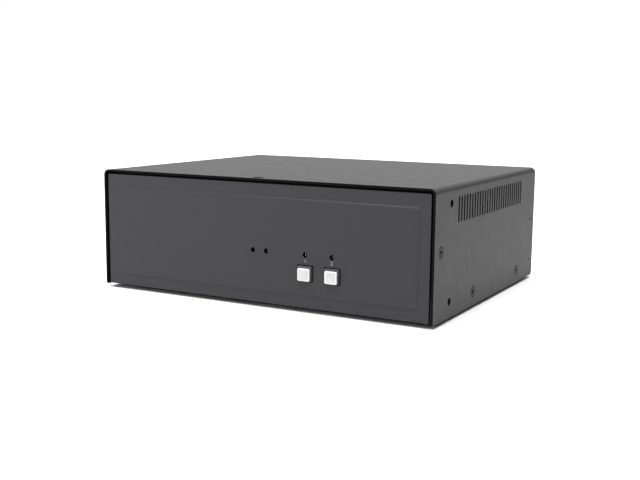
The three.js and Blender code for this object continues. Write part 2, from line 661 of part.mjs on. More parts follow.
function switchSpring(x) {
  const reach = SPRING.wire + 2 * TOUCH;
  const path = new Helix(x, BUTTON.height, PLUNGER.shoulder + reach, SWITCH.wellFloor - reach);
  const section = new THREE.Shape();
  section.absarc(0, 0, SPRING.wire, 0, 2 * Math.PI);
  return solid(new THREE.ExtrudeGeometry(section, {
    extrudePath: path,
    steps: Math.round(SPRING.turns * SPRING.stepsPerTurn),
    curveSegments: 3,
  }));
}

// Round lamp with a domed tip, a rim and two leads into the front board.
function led(x) {
  const steps = 4;
  const profile = [];
  for (let index = 0; index <= steps; index += 1) {
    const angle = (index / steps) * Math.PI / 2;
    profile.push([LED.radius * Math.sin(angle), LED.tip + LED.radius * (1 - Math.cos(angle))]);
  }
  profile.push([LED.radius, LED.rim], [LED.rimRadius, LED.rim], [LED.rimRadius, LED.base], [0, LED.base]);
  const geometry = turned(profile, 12);
  geometry.translate(x, FRONT, above(LED.height));
  const { half, past } = LEAD;
  const leads = leadPlaces(x).map(([lx, lz]) => (
    block([lx - half, LED.base - half, lz - half], [lx + half, FRONT_BOARD.back + past, lz + half])));
  return join([solid(geometry), ...leads]);
}

// ---------------------------------------------------------------- screws and feet

// The cross recess is two blocks cut into the head from the case's outer face.
function coverScrew(side, [y, z]) {
  const { arm, blade, depth } = RECESS;
  const sizes = [[arm, blade], [blade, arm]];
  const head = solid(onFace(turned(screwProfile()), side, [y, z]));
  if (side === 'top') {
    const low = CASE_HEIGHT - depth;
    return cut(head, sizes.map(([a, b]) => block([-a, y - b, low], [a, y + b, low + 2 * depth])));
  }
  const face = CASE_WIDTH / 2 - depth;
  const [near, far] = side === 'right' ? [face, face + 2 * depth] : [-face - 2 * depth, -face];
  return cut(head, sizes.map(([a, b]) => block([near, y - a, z - b], [far, y + a, z + b])));
}

function foot(x, y) {
  const top = PANEL_LIFT - TOUCH;
  const { topRadius, lowRadius, edge } = FOOT;
  const low = -FOOT_DROP;
  const profile = [[0, low], [lowRadius - edge, low], [lowRadius, low + edge], [topRadius, top], [0, top]];
  const geometry = turned(profile, 24);
  geometry.rotateX(Math.PI / 2);
  geometry.translate(x, fromFront(y), above(0));
  return solid(geometry);
}

// ---------------------------------------------------------------- the assembly

const FINISH = {
  paint: { color: 0x3a3b3d, roughness: 0.55, metalness: 0.2 },
  steel: { color: 0xb4b6b8, roughness: 0.3, metalness: 0.9 },
  brass: { color: 0xb89a55, roughness: 0.35, metalness: 0.9 },
  board: { color: 0x1d4a2c, roughness: 0.5, metalness: 0 },
  black: { color: 0x18191a, roughness: 0.5, metalness: 0 },
  rubber: { color: 0x202020, roughness: 0.9, metalness: 0 },
  grey: { color: 0x56585b, roughness: 0.5, metalness: 0 },
  white: { color: 0xf0f0ee, roughness: 0.35, metalness: 0 },
  lamp: { color: 0x2c3a30, roughness: 0.15, metalness: 0 },
  green: { color: 0x5f9a4a, roughness: 0.45, metalness: 0 },
  pink: { color: 0xc9788c, roughness: 0.45, metalness: 0 },
  ribbon: { color: 0x8e9094, roughness: 0.6, metalness: 0 },
};

const kvm = new THREE.Group();

function place(name, body, finish) {
  const mesh = new THREE.Mesh(geometryOf(body), new THREE.MeshStandardMaterial(FINISH[finish]));
  mesh.name = name;
  kvm.add(mesh);
}

function connectorFinish(name, kind) {
  if (kind === 'audio') {
    return name.endsWith('out') ? 'green' : 'pink';
  }
  return kind === 'power' ? 'black' : 'steel';
}

place('cover', cover(), 'paint');
place('chassis_tray', chassisTray(), 'paint');
place('front_panel', frontPanel(), 'paint');
place('rear_panel', rearPanel(), 'paint');

for (const { name, side, spot } of screwPlaces()) {
  place(name, coverScrew(side, spot), 'paint');
}

for (const [row, y] of [['front', FOOT.inset], ['rear', CASE_DEPTH - FOOT.inset]]) {
  place(`foot_${row}_left`, foot(-FOOT.x, y), 'rubber');
  place(`foot_${row}_right`, foot(FOOT.x, y), 'rubber');
}

['console_board', 'port_1_board', 'port_2_board'].forEach((name, level) => {
  place(name, stackedBoard(level), 'board');
});
place('front_board', frontBoard(), 'board');

for (const [corner, spot] of Object.entries(STACK_SPOTS)) {
  place(`spacer_stack_${corner}`, spacerStack(spot), 'brass');
  place(`stack_screw_${corner}`, stackScrew(spot), 'steel');
}

place('heat_sink', heatSink(), 'black');
place('ribbon_header_front', ribbonHeaderFront(), 'black');
place('ribbon_header_console', ribbonHeaderConsole(), 'black');
place('ribbon_cable', ribbonCable(), 'ribbon');

for (const entry of CONNECTORS) {
  const spot = connectorPlace(entry);
  place(spot.name, SOCKETS[spot.kind].make(spot), connectorFinish(spot.name, spot.kind));
}

BUTTON.xs.forEach((x, index) => {
  const number = index + 1;
  place(`switch_body_${number}`, switchBody(x), 'black');
  place(`switch_spring_${number}`, switchSpring(x), 'steel');
  place(`switch_plunger_${number}`, switchPlunger(x), 'grey');
  place(`switch_lens_${number}`, switchLens(x), 'white');
});

for (const [label, x] of Object.entries(LED_SPOTS)) {
  place(`led_${label}`, led(x), 'lamp');
}

export default kvm;
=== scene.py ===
"""Looks of a two-port desktop KVM switch: folded steel case, push buttons, lamps and rear sockets.

Lengths are millimetres in the frame's own axes; they become metres when a mesh is made.
"""
import json
import math

import bmesh
import bpy
from mathutils import Matrix, Vector


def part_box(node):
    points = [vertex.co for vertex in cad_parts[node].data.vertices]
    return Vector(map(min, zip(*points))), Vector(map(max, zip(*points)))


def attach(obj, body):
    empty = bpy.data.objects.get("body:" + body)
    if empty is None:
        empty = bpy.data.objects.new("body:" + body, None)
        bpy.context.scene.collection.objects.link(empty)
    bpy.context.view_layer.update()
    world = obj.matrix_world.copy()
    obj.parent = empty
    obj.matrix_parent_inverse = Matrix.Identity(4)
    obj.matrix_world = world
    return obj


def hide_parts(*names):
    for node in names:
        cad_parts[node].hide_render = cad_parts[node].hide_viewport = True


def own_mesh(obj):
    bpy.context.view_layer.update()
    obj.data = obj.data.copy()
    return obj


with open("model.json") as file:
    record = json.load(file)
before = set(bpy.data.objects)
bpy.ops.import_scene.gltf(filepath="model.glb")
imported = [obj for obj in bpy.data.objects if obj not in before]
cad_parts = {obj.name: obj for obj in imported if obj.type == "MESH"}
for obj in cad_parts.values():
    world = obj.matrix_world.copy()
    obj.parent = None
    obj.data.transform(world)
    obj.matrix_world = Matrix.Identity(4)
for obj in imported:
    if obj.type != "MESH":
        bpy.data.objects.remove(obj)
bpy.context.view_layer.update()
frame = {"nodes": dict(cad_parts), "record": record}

MM = 0.001
SAME_PLACE = 1e-7  # in metres
SHARP_ANGLE = 35  # edges with a larger angle stay sharp, in degrees
CASE, BUTTON_BODY = "case", "button_{}"


def span(node):
    """Lowest and highest corner of a CAD node, in millimetres."""
    low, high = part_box(node)
    return [c / MM for c in low], [c / MM for c in high]


def middle(node):
    low, high = span(node)
    return [(a + b) / 2 for a, b in zip(low, high)]


COVER_LOW, COVER_HIGH = span("cover")
HALF_WIDTH = COVER_HIGH[0]
FRONT_Y, REAR_Y = COVER_LOW[1], COVER_HIGH[1]
BASE_Z, TOP_Z = COVER_LOW[2], COVER_HIGH[2]

# Places are measured back from the cover's front edge and up from its lower edge.
SHEET = 1.2
COVER_BEND = 3.2
SLOTS = {"count": 27, "pitch": 4.0, "first": 32.0, "width": 1.9, "low": 48.4, "high": 62.4}
BRACKET_HOLES = ((21.5, 59.4), (21.5, 8.7))
BRACKET_RADIUS = 2.0
PEG_HOLES = ((158.4, 36.4, 1.1), (159.1, 10.6, 0.8))
SIDE_CORNERS = {"front": 1.3, "rear": 2.8}
SINK = {"wide": 3.2, "thin": 1.85}
SCREW = {"head": 2.8, "shank": 1.45, "length": 6.0, "edge": 0.12, "point": 0.4}
SCREW_SINK = 0.05
CROSS = {"arm": 1.65, "blade": 0.38, "depth": 1.3, "past": 0.3, "taper": 0.35}

PANEL_INSET = 0.7
PANEL_HALF = 102.6
PANEL_LOW, PANEL_TOP = 0.6, 66.1
PANEL_ROUND = {"corner": 1.15, "edge": 0.35}
THREAD, BRACKET_THREAD = 1.6, 1.65
FLANGE = {"joggle": 0.6, "web": 2.2, "reach": 12.1, "low": 16, "high": 64, "root": 0.2, "play": 0.1}
TOP_FLANGE = {"half": 98, "web": 1.9, "thickness": 1.6}
LOW_FLANGE = {"half": 95, "low": 2.1, "back": 12}
LUG = {"low": 53, "high": 64, "back": 28, "overlap": 1}
STUDS = {"places": ((18, 18), (18, 33)), "radius": 2.5, "gap": 0.05}
PLATEAU = {"half": 97.0, "low": 6.6, "high": 59.4, "rise": 0.6, "slope": 1.3, "corner": 2.6}
WINDOW = {"width": 9.8, "height": 9.0, "corner": 0.5}
LAMP_HOLE = 1.4
DIGITS = {"height": 1.75, "above_base": 26.3, "proud": 0.03, "xs": (31.9, 47.8)}
PAINTED_SHADE = 1  # material number of the near-black painted shade on a sheet's cut edges and hidden side


def from_front(distance):
    return FRONT_Y + distance


def above(height):
    return BASE_Z + height


# ---------------------------------------------------------------- outlines and meshes

PLACE = {
    "X": lambda u, v, w: (w, u, v),
    "Y": lambda u, v, w: (u, w, v),
    "Z": lambda u, v, w: (u, v, w),
}


def arc(cu, cv, radius, start, end, steps):
    """Points of an arc, angles in degrees."""
    angles = [math.radians(start + (end - start) * i / steps) for i in range(steps + 1)]
    return [(cu + radius * math.cos(a), cv + radius * math.sin(a)) for a in angles]


def rounded_rect(u0, u1, v0, v1, radius, steps=6):
    return (arc(u0 + radius, v0 + radius, radius, 180, 270, steps)
            + arc(u1 - radius, v0 + radius, radius, 270, 360, steps)
            + arc(u1 - radius, v1 - radius, radius, 0, 90, steps)
            + arc(u0 + radius, v1 - radius, radius, 90, 180, steps))


def rect_about(cu, cv, width, height, corner, steps=6):
    return rounded_rect(cu - width / 2, cu + width / 2, cv - height / 2, cv + height / 2, corner, steps)


def filleted(points, radius, steps=3):
    """A convex outline, given anticlockwise, with its corners rounded."""
    outline = []
    for index, point in enumerate(points):
        corner = Vector(point)
        before = (Vector(points[index - 1]) - corner).normalized()
        after = (Vector(points[(index + 1) % len(points)]) - corner).normalized()
        half = before.angle(after) / 2
        centre = corner + (before + after).normalized() * radius / math.sin(half)
        first = corner + before * radius / math.tan(half) - centre
        start = math.degrees(math.atan2(first.y, first.x))
        outline += arc(centre.x, centre.y, radius, start, start + 180 - math.degrees(2 * half), steps)
    return outline


def stadium(cu, v0, v1, radius, steps=10):
    return arc(cu, v1 - radius, radius, 0, 180, steps) + arc(cu, v0 + radius, radius, 180, 360, steps)


def loft(bm, loops, material=0):
    """Closed body through loops of points; a loop of one point is a pole."""
    rings = [[bm.verts.new(point) for point in loop] for loop in loops]
    faces = []
    for low, high in zip(rings, rings[1:]):
        count = max(len(low), len(high))
        for i in range(count):
            j = (i + 1) % count
            if len(low) == 1:
                faces.append(bm.faces.new((low[0], high[j], high[i])))
            elif len(high) == 1:
                faces.append(bm.faces.new((low[i], low[j], high[0])))
            else:
                faces.append(bm.faces.new((low[i], low[j], high[j], high[i])))
    for ring in (rings[0], rings[-1]):
        if len(ring) > 1:
            faces.append(bm.faces.new(ring))
    for face in faces:
        face.material_index = material
    bmesh.ops.recalc_face_normals(bm, faces=faces)
    return faces


def prism(bm, outline, axis, near, far, material=0):
    """Closed prism; the outline holds the other two coordinates, in X, Y, Z order."""
    place = PLACE[axis]
    return loft(bm, [[place(u, v, w) for u, v in outline] for w in (near, far)], material)


def block(bm, low, high, material=0):
    outline = [(low[0], low[2]), (high[0], low[2]), (high[0], high[2]), (low[0], high[2])]
    return prism(bm, outline, "Y", low[1], high[1], material)


def rod(radius, near, far):
    """Profile of a plain round rod or hole."""
    return [(0, near), (radius, near), (radius, far), (0, far)]


def turned(bm, profile, axis, centre, sides=32, material=0):
    """Body of revolution: the profile holds (radius, place along the axis)."""
    place = PLACE[axis]
    loops = []
    for radius, along in profile:
        if radius == 0:
            loops.append([place(centre[0], centre[1], along)])
            continue
        ring = arc(centre[0], centre[1], radius, 0, 360 * (sides - 1) / sides, sides - 1)
        loops.append([place(u, v, along) for u, v in ring])
    return loft(bm, loops, material)


def make(name, bm, shade_angle=SHARP_ANGLE):
    """An object of the mesh, in metres, shaded smooth with sharp edges kept."""
    mesh = bpy.data.meshes.new(name)
    bm.to_mesh(mesh)
    bm.free()
    mesh.transform(Matrix.Scale(MM, 4))
    obj = bpy.data.objects.new(name, mesh)
    bpy.context.scene.collection.objects.link(obj)
    shade(obj, shade_angle)
    return obj


def shade(obj, angle=SHARP_ANGLE):
    obj.data.shade_smooth()
    obj.data.set_sharp_from_angle(angle=math.radians(angle))


def settle(obj):
    """Makes what the modifiers give the object's own mesh."""
    bpy.context.view_layer.update()
    graph = bpy.context.evaluated_depsgraph_get()
    mesh = bpy.data.meshes.new_from_object(obj.evaluated_get(graph))
    old = obj.data
    obj.modifiers.clear()
    obj.data = mesh
    bpy.data.meshes.remove(old)


def combine(obj, bm, operation):
    """Cuts or joins the object with the bodies in bm."""
    tool = make("tool", bm)
    modifier = obj.modifiers.new("combine", "BOOLEAN")
    modifier.operation = operation
    modifier.solver = "EXACT"
    modifier.use_self = True
    modifier.object = tool
    settle(obj)
    bpy.data.objects.remove(tool)
    mended = bmesh.new()
    mended.from_mesh(obj.data)
    bmesh.ops.remove_doubles(mended, verts=mended.verts, dist=SAME_PLACE)
    bmesh.ops.dissolve_degenerate(mended, edges=mended.edges, dist=SAME_PLACE)
    mended.to_mesh(obj.data)
    mended.free()
    shade(obj)


def add_bodies(obj, bm):
    """Adds closed bodies to the object's mesh as they are."""
    bm.transform(Matrix.Scale(MM, 4))
    bm.from_mesh(obj.data)
    bm.to_mesh(obj.data)
    bm.free()
    shade(obj)


def mark_faces(obj, test, material=PAINTED_SHADE):
    """Gives the faces that pass the test, by centre in millimetres and normal, another material."""
    for face in obj.data.polygons:
        if test(face.center / MM, face.normal):
            face.material_index = material


def soften(obj, width, segments=2, angle=SHARP_ANGLE):
    """Rounds the sharp edges of a hard piece, and keeps its flat faces looking flat."""
    bevel = obj.modifiers.new("rounded_edges", "BEVEL")
    bevel.width = width * MM
    bevel.segments = segments
    bevel.limit_method = "ANGLE"
    bevel.angle_limit = math.radians(angle)
    bevel.miter_outer = "MITER_ARC"
    weighted = obj.modifiers.new("flat_faces", "WEIGHTED_NORMAL")
    weighted.keep_sharp = True
    return obj


# ---------------------------------------------------------------- materials

RANGE_SOCKETS = ("From Min", "From Max", "To Min", "To Max")


class Surface:
    """A node material built round one Principled shader, patterned in the piece's own coordinates."""

    def __init__(self, name, roughness=0.5, metallic=0.0, **fixed):
        self.material = bpy.data.materials.new(name)
        self.material.use_nodes = True
        self.tree = self.material.node_tree
        self.shader = self.tree.nodes["Principled BSDF"]
        self.coords = self.new("ShaderNodeTexCoord").outputs["Object"]
        self.set("Roughness", roughness)
        self.set("Metallic", metallic)
        for socket, value in fixed.items():
            self.set(socket.replace("_", " "), value)

    def new(self, kind):
        return self.tree.nodes.new(kind)

    def link(self, source, target):
        self.tree.links.new(source, target)

    def set(self, socket, value):
        self.shader.inputs[socket].default_value = value

    def noise(self, size, detail=2.0, stretch=(1, 1, 1)):
        """Noise with features of about that size in millimetres."""
        mapping = self.new("ShaderNodeMapping")
        mapping.inputs["Scale"].default_value = [1 / s for s in stretch]
        self.link(self.coords, mapping.inputs["Vector"])
        node = self.new("ShaderNodeTexNoise")
        node.inputs["Scale"].default_value = 1 / (size * MM)
        node.inputs["Detail"].default_value = detail
        self.link(mapping.outputs["Vector"], node.inputs["Vector"])
        return node.outputs["Fac"]

    def cells(self, size):
        node = self.new("ShaderNodeTexVoronoi")
        node.inputs["Scale"].default_value = 1 / (size * MM)
        self.link(self.coords, node.inputs["Vector"])
        return node.outputs["Distance"]

    def ramp(self, factor, stops):
        """Colours along a factor; stops holds (place, colour)."""
        node = self.new("ShaderNodeValToRGB")
        elements = node.color_ramp.elements
        while len(elements) < len(stops):
            elements.new(0.5)
        for element, (place, color) in zip(elements, stops):
            element.position = place
            element.color = (*color, 1)
        self.link(factor, node.inputs["Fac"])
        return node.outputs["Color"]

    def span(self, factor, low, high, source=(0.3, 0.7)):
        """The factor's middle range spread over low to high."""
        node = self.new("ShaderNodeMapRange")
        for socket, value in zip(RANGE_SOCKETS, (*source, low, high)):
            node.inputs[socket].default_value = value
        self.link(factor, node.inputs["Value"])
        return node.outputs["Result"]

    def colour(self, factor, dark, light):
        self.link(self.ramp(factor, ((0.3, dark), (0.7, light))), self.shader.inputs["Base Color"])

    def rough(self, factor, low, high):
        self.link(self.span(factor, low, high), self.shader.inputs["Roughness"])

    def bump(self, *layers):
        """Stacks bumps; each layer is (height factor, depth in millimetres)."""
        normal = None
        for height, depth in layers:
            node = self.new("ShaderNodeBump")
            node.inputs["Distance"].default_value = depth * MM
            self.link(height, node.inputs["Height"])
            if normal is not None:
                self.link(normal, node.inputs["Normal"])
            normal = node.outputs["Normal"]
        self.link(normal, self.shader.inputs["Normal"])


def tint(color, factor):
    return tuple(channel * factor for channel in color)


def powder_coat(name, color, roughness, specular):
    """Matt textured paint: fine grain, and a slow drift in gloss."""
    paint = Surface(name, Specular_IOR_Level=specular)
    paint.colour(paint.noise(0.5, 3), tint(color, 0.95), tint(color, 1.05))
    paint.rough(paint.noise(6.0, 2), roughness - 0.02, roughness + 0.02)
    paint.bump((paint.noise(0.25, 2), 0.005))
    return paint.material


def moulded(name, color, roughness, grain=0.15, depth=0.004, metallic=0.0):
    """Moulded plastic: even colour with a faint drift and a fine spark-eroded grain."""
    plastic = Surface(name, metallic=metallic)
    plastic.colour(plastic.noise(3.0), tint(color, 0.94), tint(color, 1.06))
    plastic.rough(plastic.noise(1.5), roughness - 0.04, roughness + 0.04)
    plastic.bump((plastic.noise(grain), depth))
    return plastic.material


def plated(name, color, roughness, stretch=(1, 1, 1)):
    """Plated metal: bright, with faint rolling lines and cloudy gloss."""
    metal = Surface(name, metallic=1.0)
    metal.colour(metal.noise(4.0, 3), tint(color, 0.88), tint(color, 1.05))
    metal.rough(metal.noise(1.2, 3, stretch), roughness - 0.06, roughness + 0.08)
    metal.bump((metal.noise(0.35, 2, stretch), 0.003))
    return metal.material


def rubber(name, color):
    soft = Surface(name, Specular_IOR_Level=0.3)
    soft.colour(soft.noise(0.8, 3), tint(color, 0.8), tint(color, 1.25))
    soft.rough(soft.noise(0.5), 0.75, 0.9)
    soft.bump((soft.noise(0.3, 3), 0.02))
    return soft.material


def circuit_board(name):
    """Green solder mask over tracks, drawn as thin cell borders."""
    mask = Surface(name, Coat_Weight=0.3, Coat_Roughness=0.25)
    tracks = mask.ramp(mask.cells(5.0), ((0.42, (0.010, 0.075, 0.028)), (0.5, (0.022, 0.135, 0.05))))
    mask.link(tracks, mask.shader.inputs["Base Color"])
    mask.rough(mask.noise(2.0), 0.38, 0.48)
    mask.bump((mask.cells(5.0), 0.02))
    return mask.material


def lamp_epoxy(name, color):
    """Tinted clear resin of an unlit lamp."""
    resin = Surface(name, Coat_Weight=0.6, Coat_Roughness=0.04)
    resin.colour(resin.noise(1.0), tint(color, 0.85), tint(color, 1.15))
    resin.rough(resin.noise(0.6), 0.08, 0.14)
    return resin.material


PAINT = (0.0215, 0.0215, 0.0218)
PANEL_PAINT = (0.0195, 0.0188, 0.0212)
FINISHES = {
    "case_paint": (powder_coat, PAINT, 0.52, 0.36),
    "panel_paint": (powder_coat, PANEL_PAINT, 0.52, 0.33),
    # painted shade: a near-black copy of the paint for cut edges, slot, window and hole walls, hidden sides
    # and screw recesses
    "edge_paint": (powder_coat, (0.004, 0.004, 0.0041), 0.8, 0.05),
    "screw_black": (powder_coat, tint(PAINT, 0.35), 0.45, 0.16),
    "screw_shadow": (powder_coat, tint(PAINT, 0.25), 0.7, 0.06),
    "foot_rubber": (rubber, (0.012, 0.012, 0.012)),
    "circuit_board": (circuit_board,),
    "brass_spacer": (plated, (0.78, 0.6, 0.3), 0.3),
    "screw_steel": (plated, (0.62, 0.62, 0.62), 0.32),
    "black_aluminium": (moulded, (0.02, 0.02, 0.021), 0.42, 0.15, 0.004, 0.6),
    "black_plastic": (moulded, (0.013, 0.013, 0.014), 0.5),
    "ivory_plastic": (moulded, (0.62, 0.6, 0.54), 0.45),
    "ribbon_grey": (moulded, (0.3, 0.3, 0.31), 0.55),
    "connector_shell": (plated, (0.66, 0.65, 0.63), 0.24, (6, 1, 1)),
    "contact_gold": (plated, (0.9, 0.66, 0.28), 0.22),
    "audio_green": (moulded, (0.16, 0.42, 0.08), 0.42),
    "audio_pink": (moulded, (0.62, 0.16, 0.25), 0.42),
    "spring_steel": (plated, (0.5, 0.5, 0.5), 0.3),
    "plunger_grey": (moulded, (0.034, 0.034, 0.036), 0.5),
    "lens_white": (moulded, (0.56, 0.56, 0.555), 0.35, 0.5, 0.001),
    "lens_insert": (moulded, (0.45, 0.45, 0.445), 0.5, 0.5, 0.001),
    "lamp_clear": (lamp_epoxy, (0.02, 0.02, 0.02)),
    "lamp_green": (lamp_epoxy, (0.008, 0.02, 0.01)),
    "lamp_red": (lamp_epoxy, (0.06, 0.008, 0.01)),
    # painted glints: pale patches on the lamp domes
    "die_clear": (moulded, (0.75, 0.75, 0.75), 0.4),
    "die_green": (moulded, (0.16, 0.19, 0.15), 0.4),
    "die_red": (moulded, (0.25, 0.09, 0.1), 0.4),
    "legend_ink": (moulded, (0.32, 0.32, 0.32), 0.55),
}
MATERIALS = {name: maker(name, *look) for name, (maker, *look) in FINISHES.items()}
SLOT_OF = {
    "panel_paint": "case_paint",
    "screw_black": "case_paint",
    "screw_shadow": "case_paint",
    "lamp_clear": "led_epoxy",
    "lamp_green": "led_epoxy",
    "lamp_red": "led_epoxy",
    "legend_ink": "lens_white",
}  # the record's slot, for a first material whose name isn't one


def dress(obj, *names):
    """Gives the object these materials, in the order of its faces' material numbers."""
    numbers = [face.material_index if len(names) > 1 else 0 for face in obj.data.polygons]
    obj.data.materials.clear()
    for name in names:
        obj.data.materials.append(MATERIALS[name])
    obj.data.polygons.foreach_set("material_index", numbers)
    SLOT_OF.get(names[0], names[0])


def fit(obj, body, *nodes):
    """The object rides on the body and stands for these CAD nodes."""
    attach(obj, body)
    if nodes:
        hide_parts(*nodes)
    return obj


# ---------------------------------------------------------------- cover

def channel_outline():
    """Section of the cover: roof, two walls, round bends."""
    steps = 14
    right, left = HALF_WIDTH - COVER_BEND, COVER_BEND - HALF_WIDTH
    bend = TOP_Z - COVER_BEND
    inner = COVER_BEND - SHEET
    return ([(HALF_WIDTH, BASE_Z)]
            + arc(right, bend, COVER_BEND, 0, 90, steps)
            + arc(left, bend, COVER_BEND, 90, 180, steps)
            + [(-HALF_WIDTH, BASE_Z), (SHEET - HALF_WIDTH, BASE_Z)]
            + arc(left, bend, inner, 180, 90, steps)
            + arc(right, bend, inner, 90, 0, steps)
            + [(HALF_WIDTH - SHEET, BASE_Z)])


def corner_waste(y, radius, inward):
    """What rounding takes off a lower corner of the side walls."""
    past = 1.0
    start, end = (180, 270) if inward > 0 else (0, -90)
    rounding = arc(y + inward * radius, BASE_Z + radius, radius, start, end, 8)
    return rounding + [(y + inward * radius, BASE_Z - past), (y - inward * past, BASE_Z - past),
                       (y - inward * past, BASE_Z + radius)]


def screw_nodes():
    return [name for name in frame["nodes"] if name.startswith("cover_screw_")]


def sink_profile(face, outward):
    """Countersink for a screw whose sheet's outer face is there along the axis."""
    wide, thin = SINK["wide"], SINK["thin"]
    below = 3.0
    past = 0.5
    spread = (wide - thin) / SHEET
    return [(0, face - outward * below), (thin, face - outward * below), (thin, face - outward * SHEET),
            (wide + spread * past, face + outward * past), (0, face + outward * past)]


def side_hole(bm, y, z, radius, sides=32):
    reach = HALF_WIDTH + 1
    turned(bm, rod(radius, -reach, reach), "X", (y, z), sides)


def is_outer_bend(centre):
    """Whether a place in one of the cover's long bends lies on the outer surface."""
    across = abs(centre.x) - (HALF_WIDTH - COVER_BEND)
    return math.hypot(across, centre.z - (TOP_Z - COVER_BEND)) > COVER_BEND - SHEET / 2


def cover_piece():
    bm = bmesh.new()
    prism(bm, channel_outline(), "Y", FRONT_Y, REAR_Y)
    obj = make("cover_sheet", bm)
    cutters = bmesh.new()
    reach = HALF_WIDTH + 1
    for index in range(SLOTS["count"]):
        y = from_front(SLOTS["first"] + index * SLOTS["pitch"])
        outline = stadium(y, above(SLOTS["low"]), above(SLOTS["high"]), SLOTS["width"] / 2)
        prism(cutters, outline, "X", -reach, reach)
    for y, z in BRACKET_HOLES:
        side_hole(cutters, from_front(y), above(z), BRACKET_RADIUS)
    for y, z, radius in PEG_HOLES:
        side_hole(cutters, from_front(y), above(z), radius, 20)
    prism(cutters, corner_waste(FRONT_Y, SIDE_CORNERS["front"], 1), "X", -reach, reach)
    prism(cutters, corner_waste(REAR_Y, SIDE_CORNERS["rear"], -1), "X", -reach, reach)
    for name in screw_nodes():
        x, y, z = middle(name)
        if name.endswith("top"):
            turned(cutters, sink_profile(TOP_Z, 1), "Z", (x, y))
        else:
            outward = 1 if x > 0 else -1
            turned(cutters, sink_profile(outward * HALF_WIDTH, outward), "X", (y, z))
    combine(obj, cutters, "DIFFERENCE")
    skin = 0.02

    # Painted shade: the cut ends and every face below the outer skin (inside, slot, hole and countersink
    # walls) get the near-black paint; the outside of the bends keeps the case paint.
    def cut_or_inside(centre, normal):
        end = abs(normal.y) > 0.9 and min(centre.y - FRONT_Y, REAR_Y - centre.y) < skin
        within = abs(centre.x) < HALF_WIDTH - skin and centre.z < TOP_Z - skin
        in_bend = centre.z > TOP_Z - COVER_BEND and abs(centre.x) > HALF_WIDTH - COVER_BEND
        facing_out = in_bend and normal.z > 0.05
        return end or (within and not (facing_out and is_outer_bend(centre)))

    mark_faces(obj, cut_or_inside)
    soften(obj, 0.2)
    dress(obj, "case_paint", "edge_paint")
    return fit(obj, CASE, "cover")


# ---------------------------------------------------------------- front and rear panels

def panel_outline(inset=0.0):
    return rounded_rect(inset - PANEL_HALF, PANEL_HALF - inset, above(PANEL_LOW) + inset,
                        above(PANEL_TOP) - inset, PANEL_ROUND["corner"] - inset, 8)


def plateau_outline(inset):
    half = PLATEAU["half"] - inset
    return rounded_rect(-half, half, above(PLATEAU["low"]) + inset, above(PLATEAU["high"]) - inset,
                        PLATEAU["corner"] - inset, 8)


def plate_loops(face, inward):
    """Loops of a panel's plate, from its back to its face's rounded edge; inward is +1 or -1 along Y."""
    edge = PANEL_ROUND["edge"]
    loops = [[(u, face + inward * SHEET, v) for u, v in panel_outline()]]
    steps = 4
    for index in range(steps + 1):
        angle = math.radians(90 * index / steps)
        inset, depth = edge * (1 - math.cos(angle)), edge * (1 - math.sin(angle))
        loops.append([(u, face + inward * depth, v) for u, v in panel_outline(inset)])
    return loops


def side_flanges(bm, back, inward):
    """Flanges along the side walls, set out towards them by a small joggle behind the plate."""
    wing_out = span("front_panel")[1][0]
    web_out = PANEL_HALF - FLANGE["play"]
    low, high = FLANGE["low"], FLANGE["high"]
    for sign in (-1, 1):
        def slab(x0, x1, d0, d1, low, high):
            xs = sorted((sign * x0, sign * x1))
            ys = sorted((back + inward * d0, back + inward * d1))
            block(bm, (xs[0], ys[0], above(low)), (xs[1], ys[1], above(high)))
        slab(PANEL_HALF - SHEET, web_out, -FLANGE["root"], FLANGE["web"], low, high)
        slab(wing_out - SHEET, wing_out, FLANGE["joggle"], FLANGE["reach"], low, high)
        if inward > 0:
            start, end = FLANGE["reach"] - LUG["overlap"], from_front(LUG["back"]) - back
            slab(wing_out - SHEET, wing_out, start, end, LUG["low"], LUG["high"])


def top_flange(bm, back, inward):
    """Flange under the roof, just behind the gap over the panel."""
    top = span("front_panel")[1][2]
    half = TOP_FLANGE["half"]
    web = sorted((back - inward * FLANGE["root"], back + inward * TOP_FLANGE["web"]))
    wing = sorted((back + inward * FLANGE["joggle"], back + inward * FLANGE["reach"]))
    web_top = above(PANEL_TOP - FLANGE["play"])
    block(bm, (-half, web[0], above(PANEL_TOP - SHEET)), (half, web[1], web_top))
    block(bm, (-half, wing[0], top - TOP_FLANGE["thickness"]), (half, wing[1], top))


def low_flange_and_studs(bm, back):
    """The front panel's lower flange and the studs that carry the small board."""
    half, low = LOW_FLANGE["half"], LOW_FLANGE["low"]
    root = back - FLANGE["root"]
    block(bm, (-half, root, above(low)), (half, from_front(LOW_FLANGE["back"]), above(low + SHEET)))
    seat = span("front_board")[0][1] - STUDS["gap"]
    for x, z in STUDS["places"]:
        turned(bm, rod(STUDS["radius"], root, seat), "Y", (x, above(z)), 24)


def mark_hidden_side(obj, face, back, inward):
    """Gives all of a panel but its face and its rounded edge the near-black painted shade: its hidden
    sides, flanges and the walls of its openings.
    """
    skin, margin, steep = 0.04, 0.1, 0.85

    def hidden(centre, normal):
        behind = inward * (centre.y - face) > skin
        return behind and (abs(normal.y) < steep or inward * (centre.y - back) > -margin)

    mark_faces(obj, hidden)


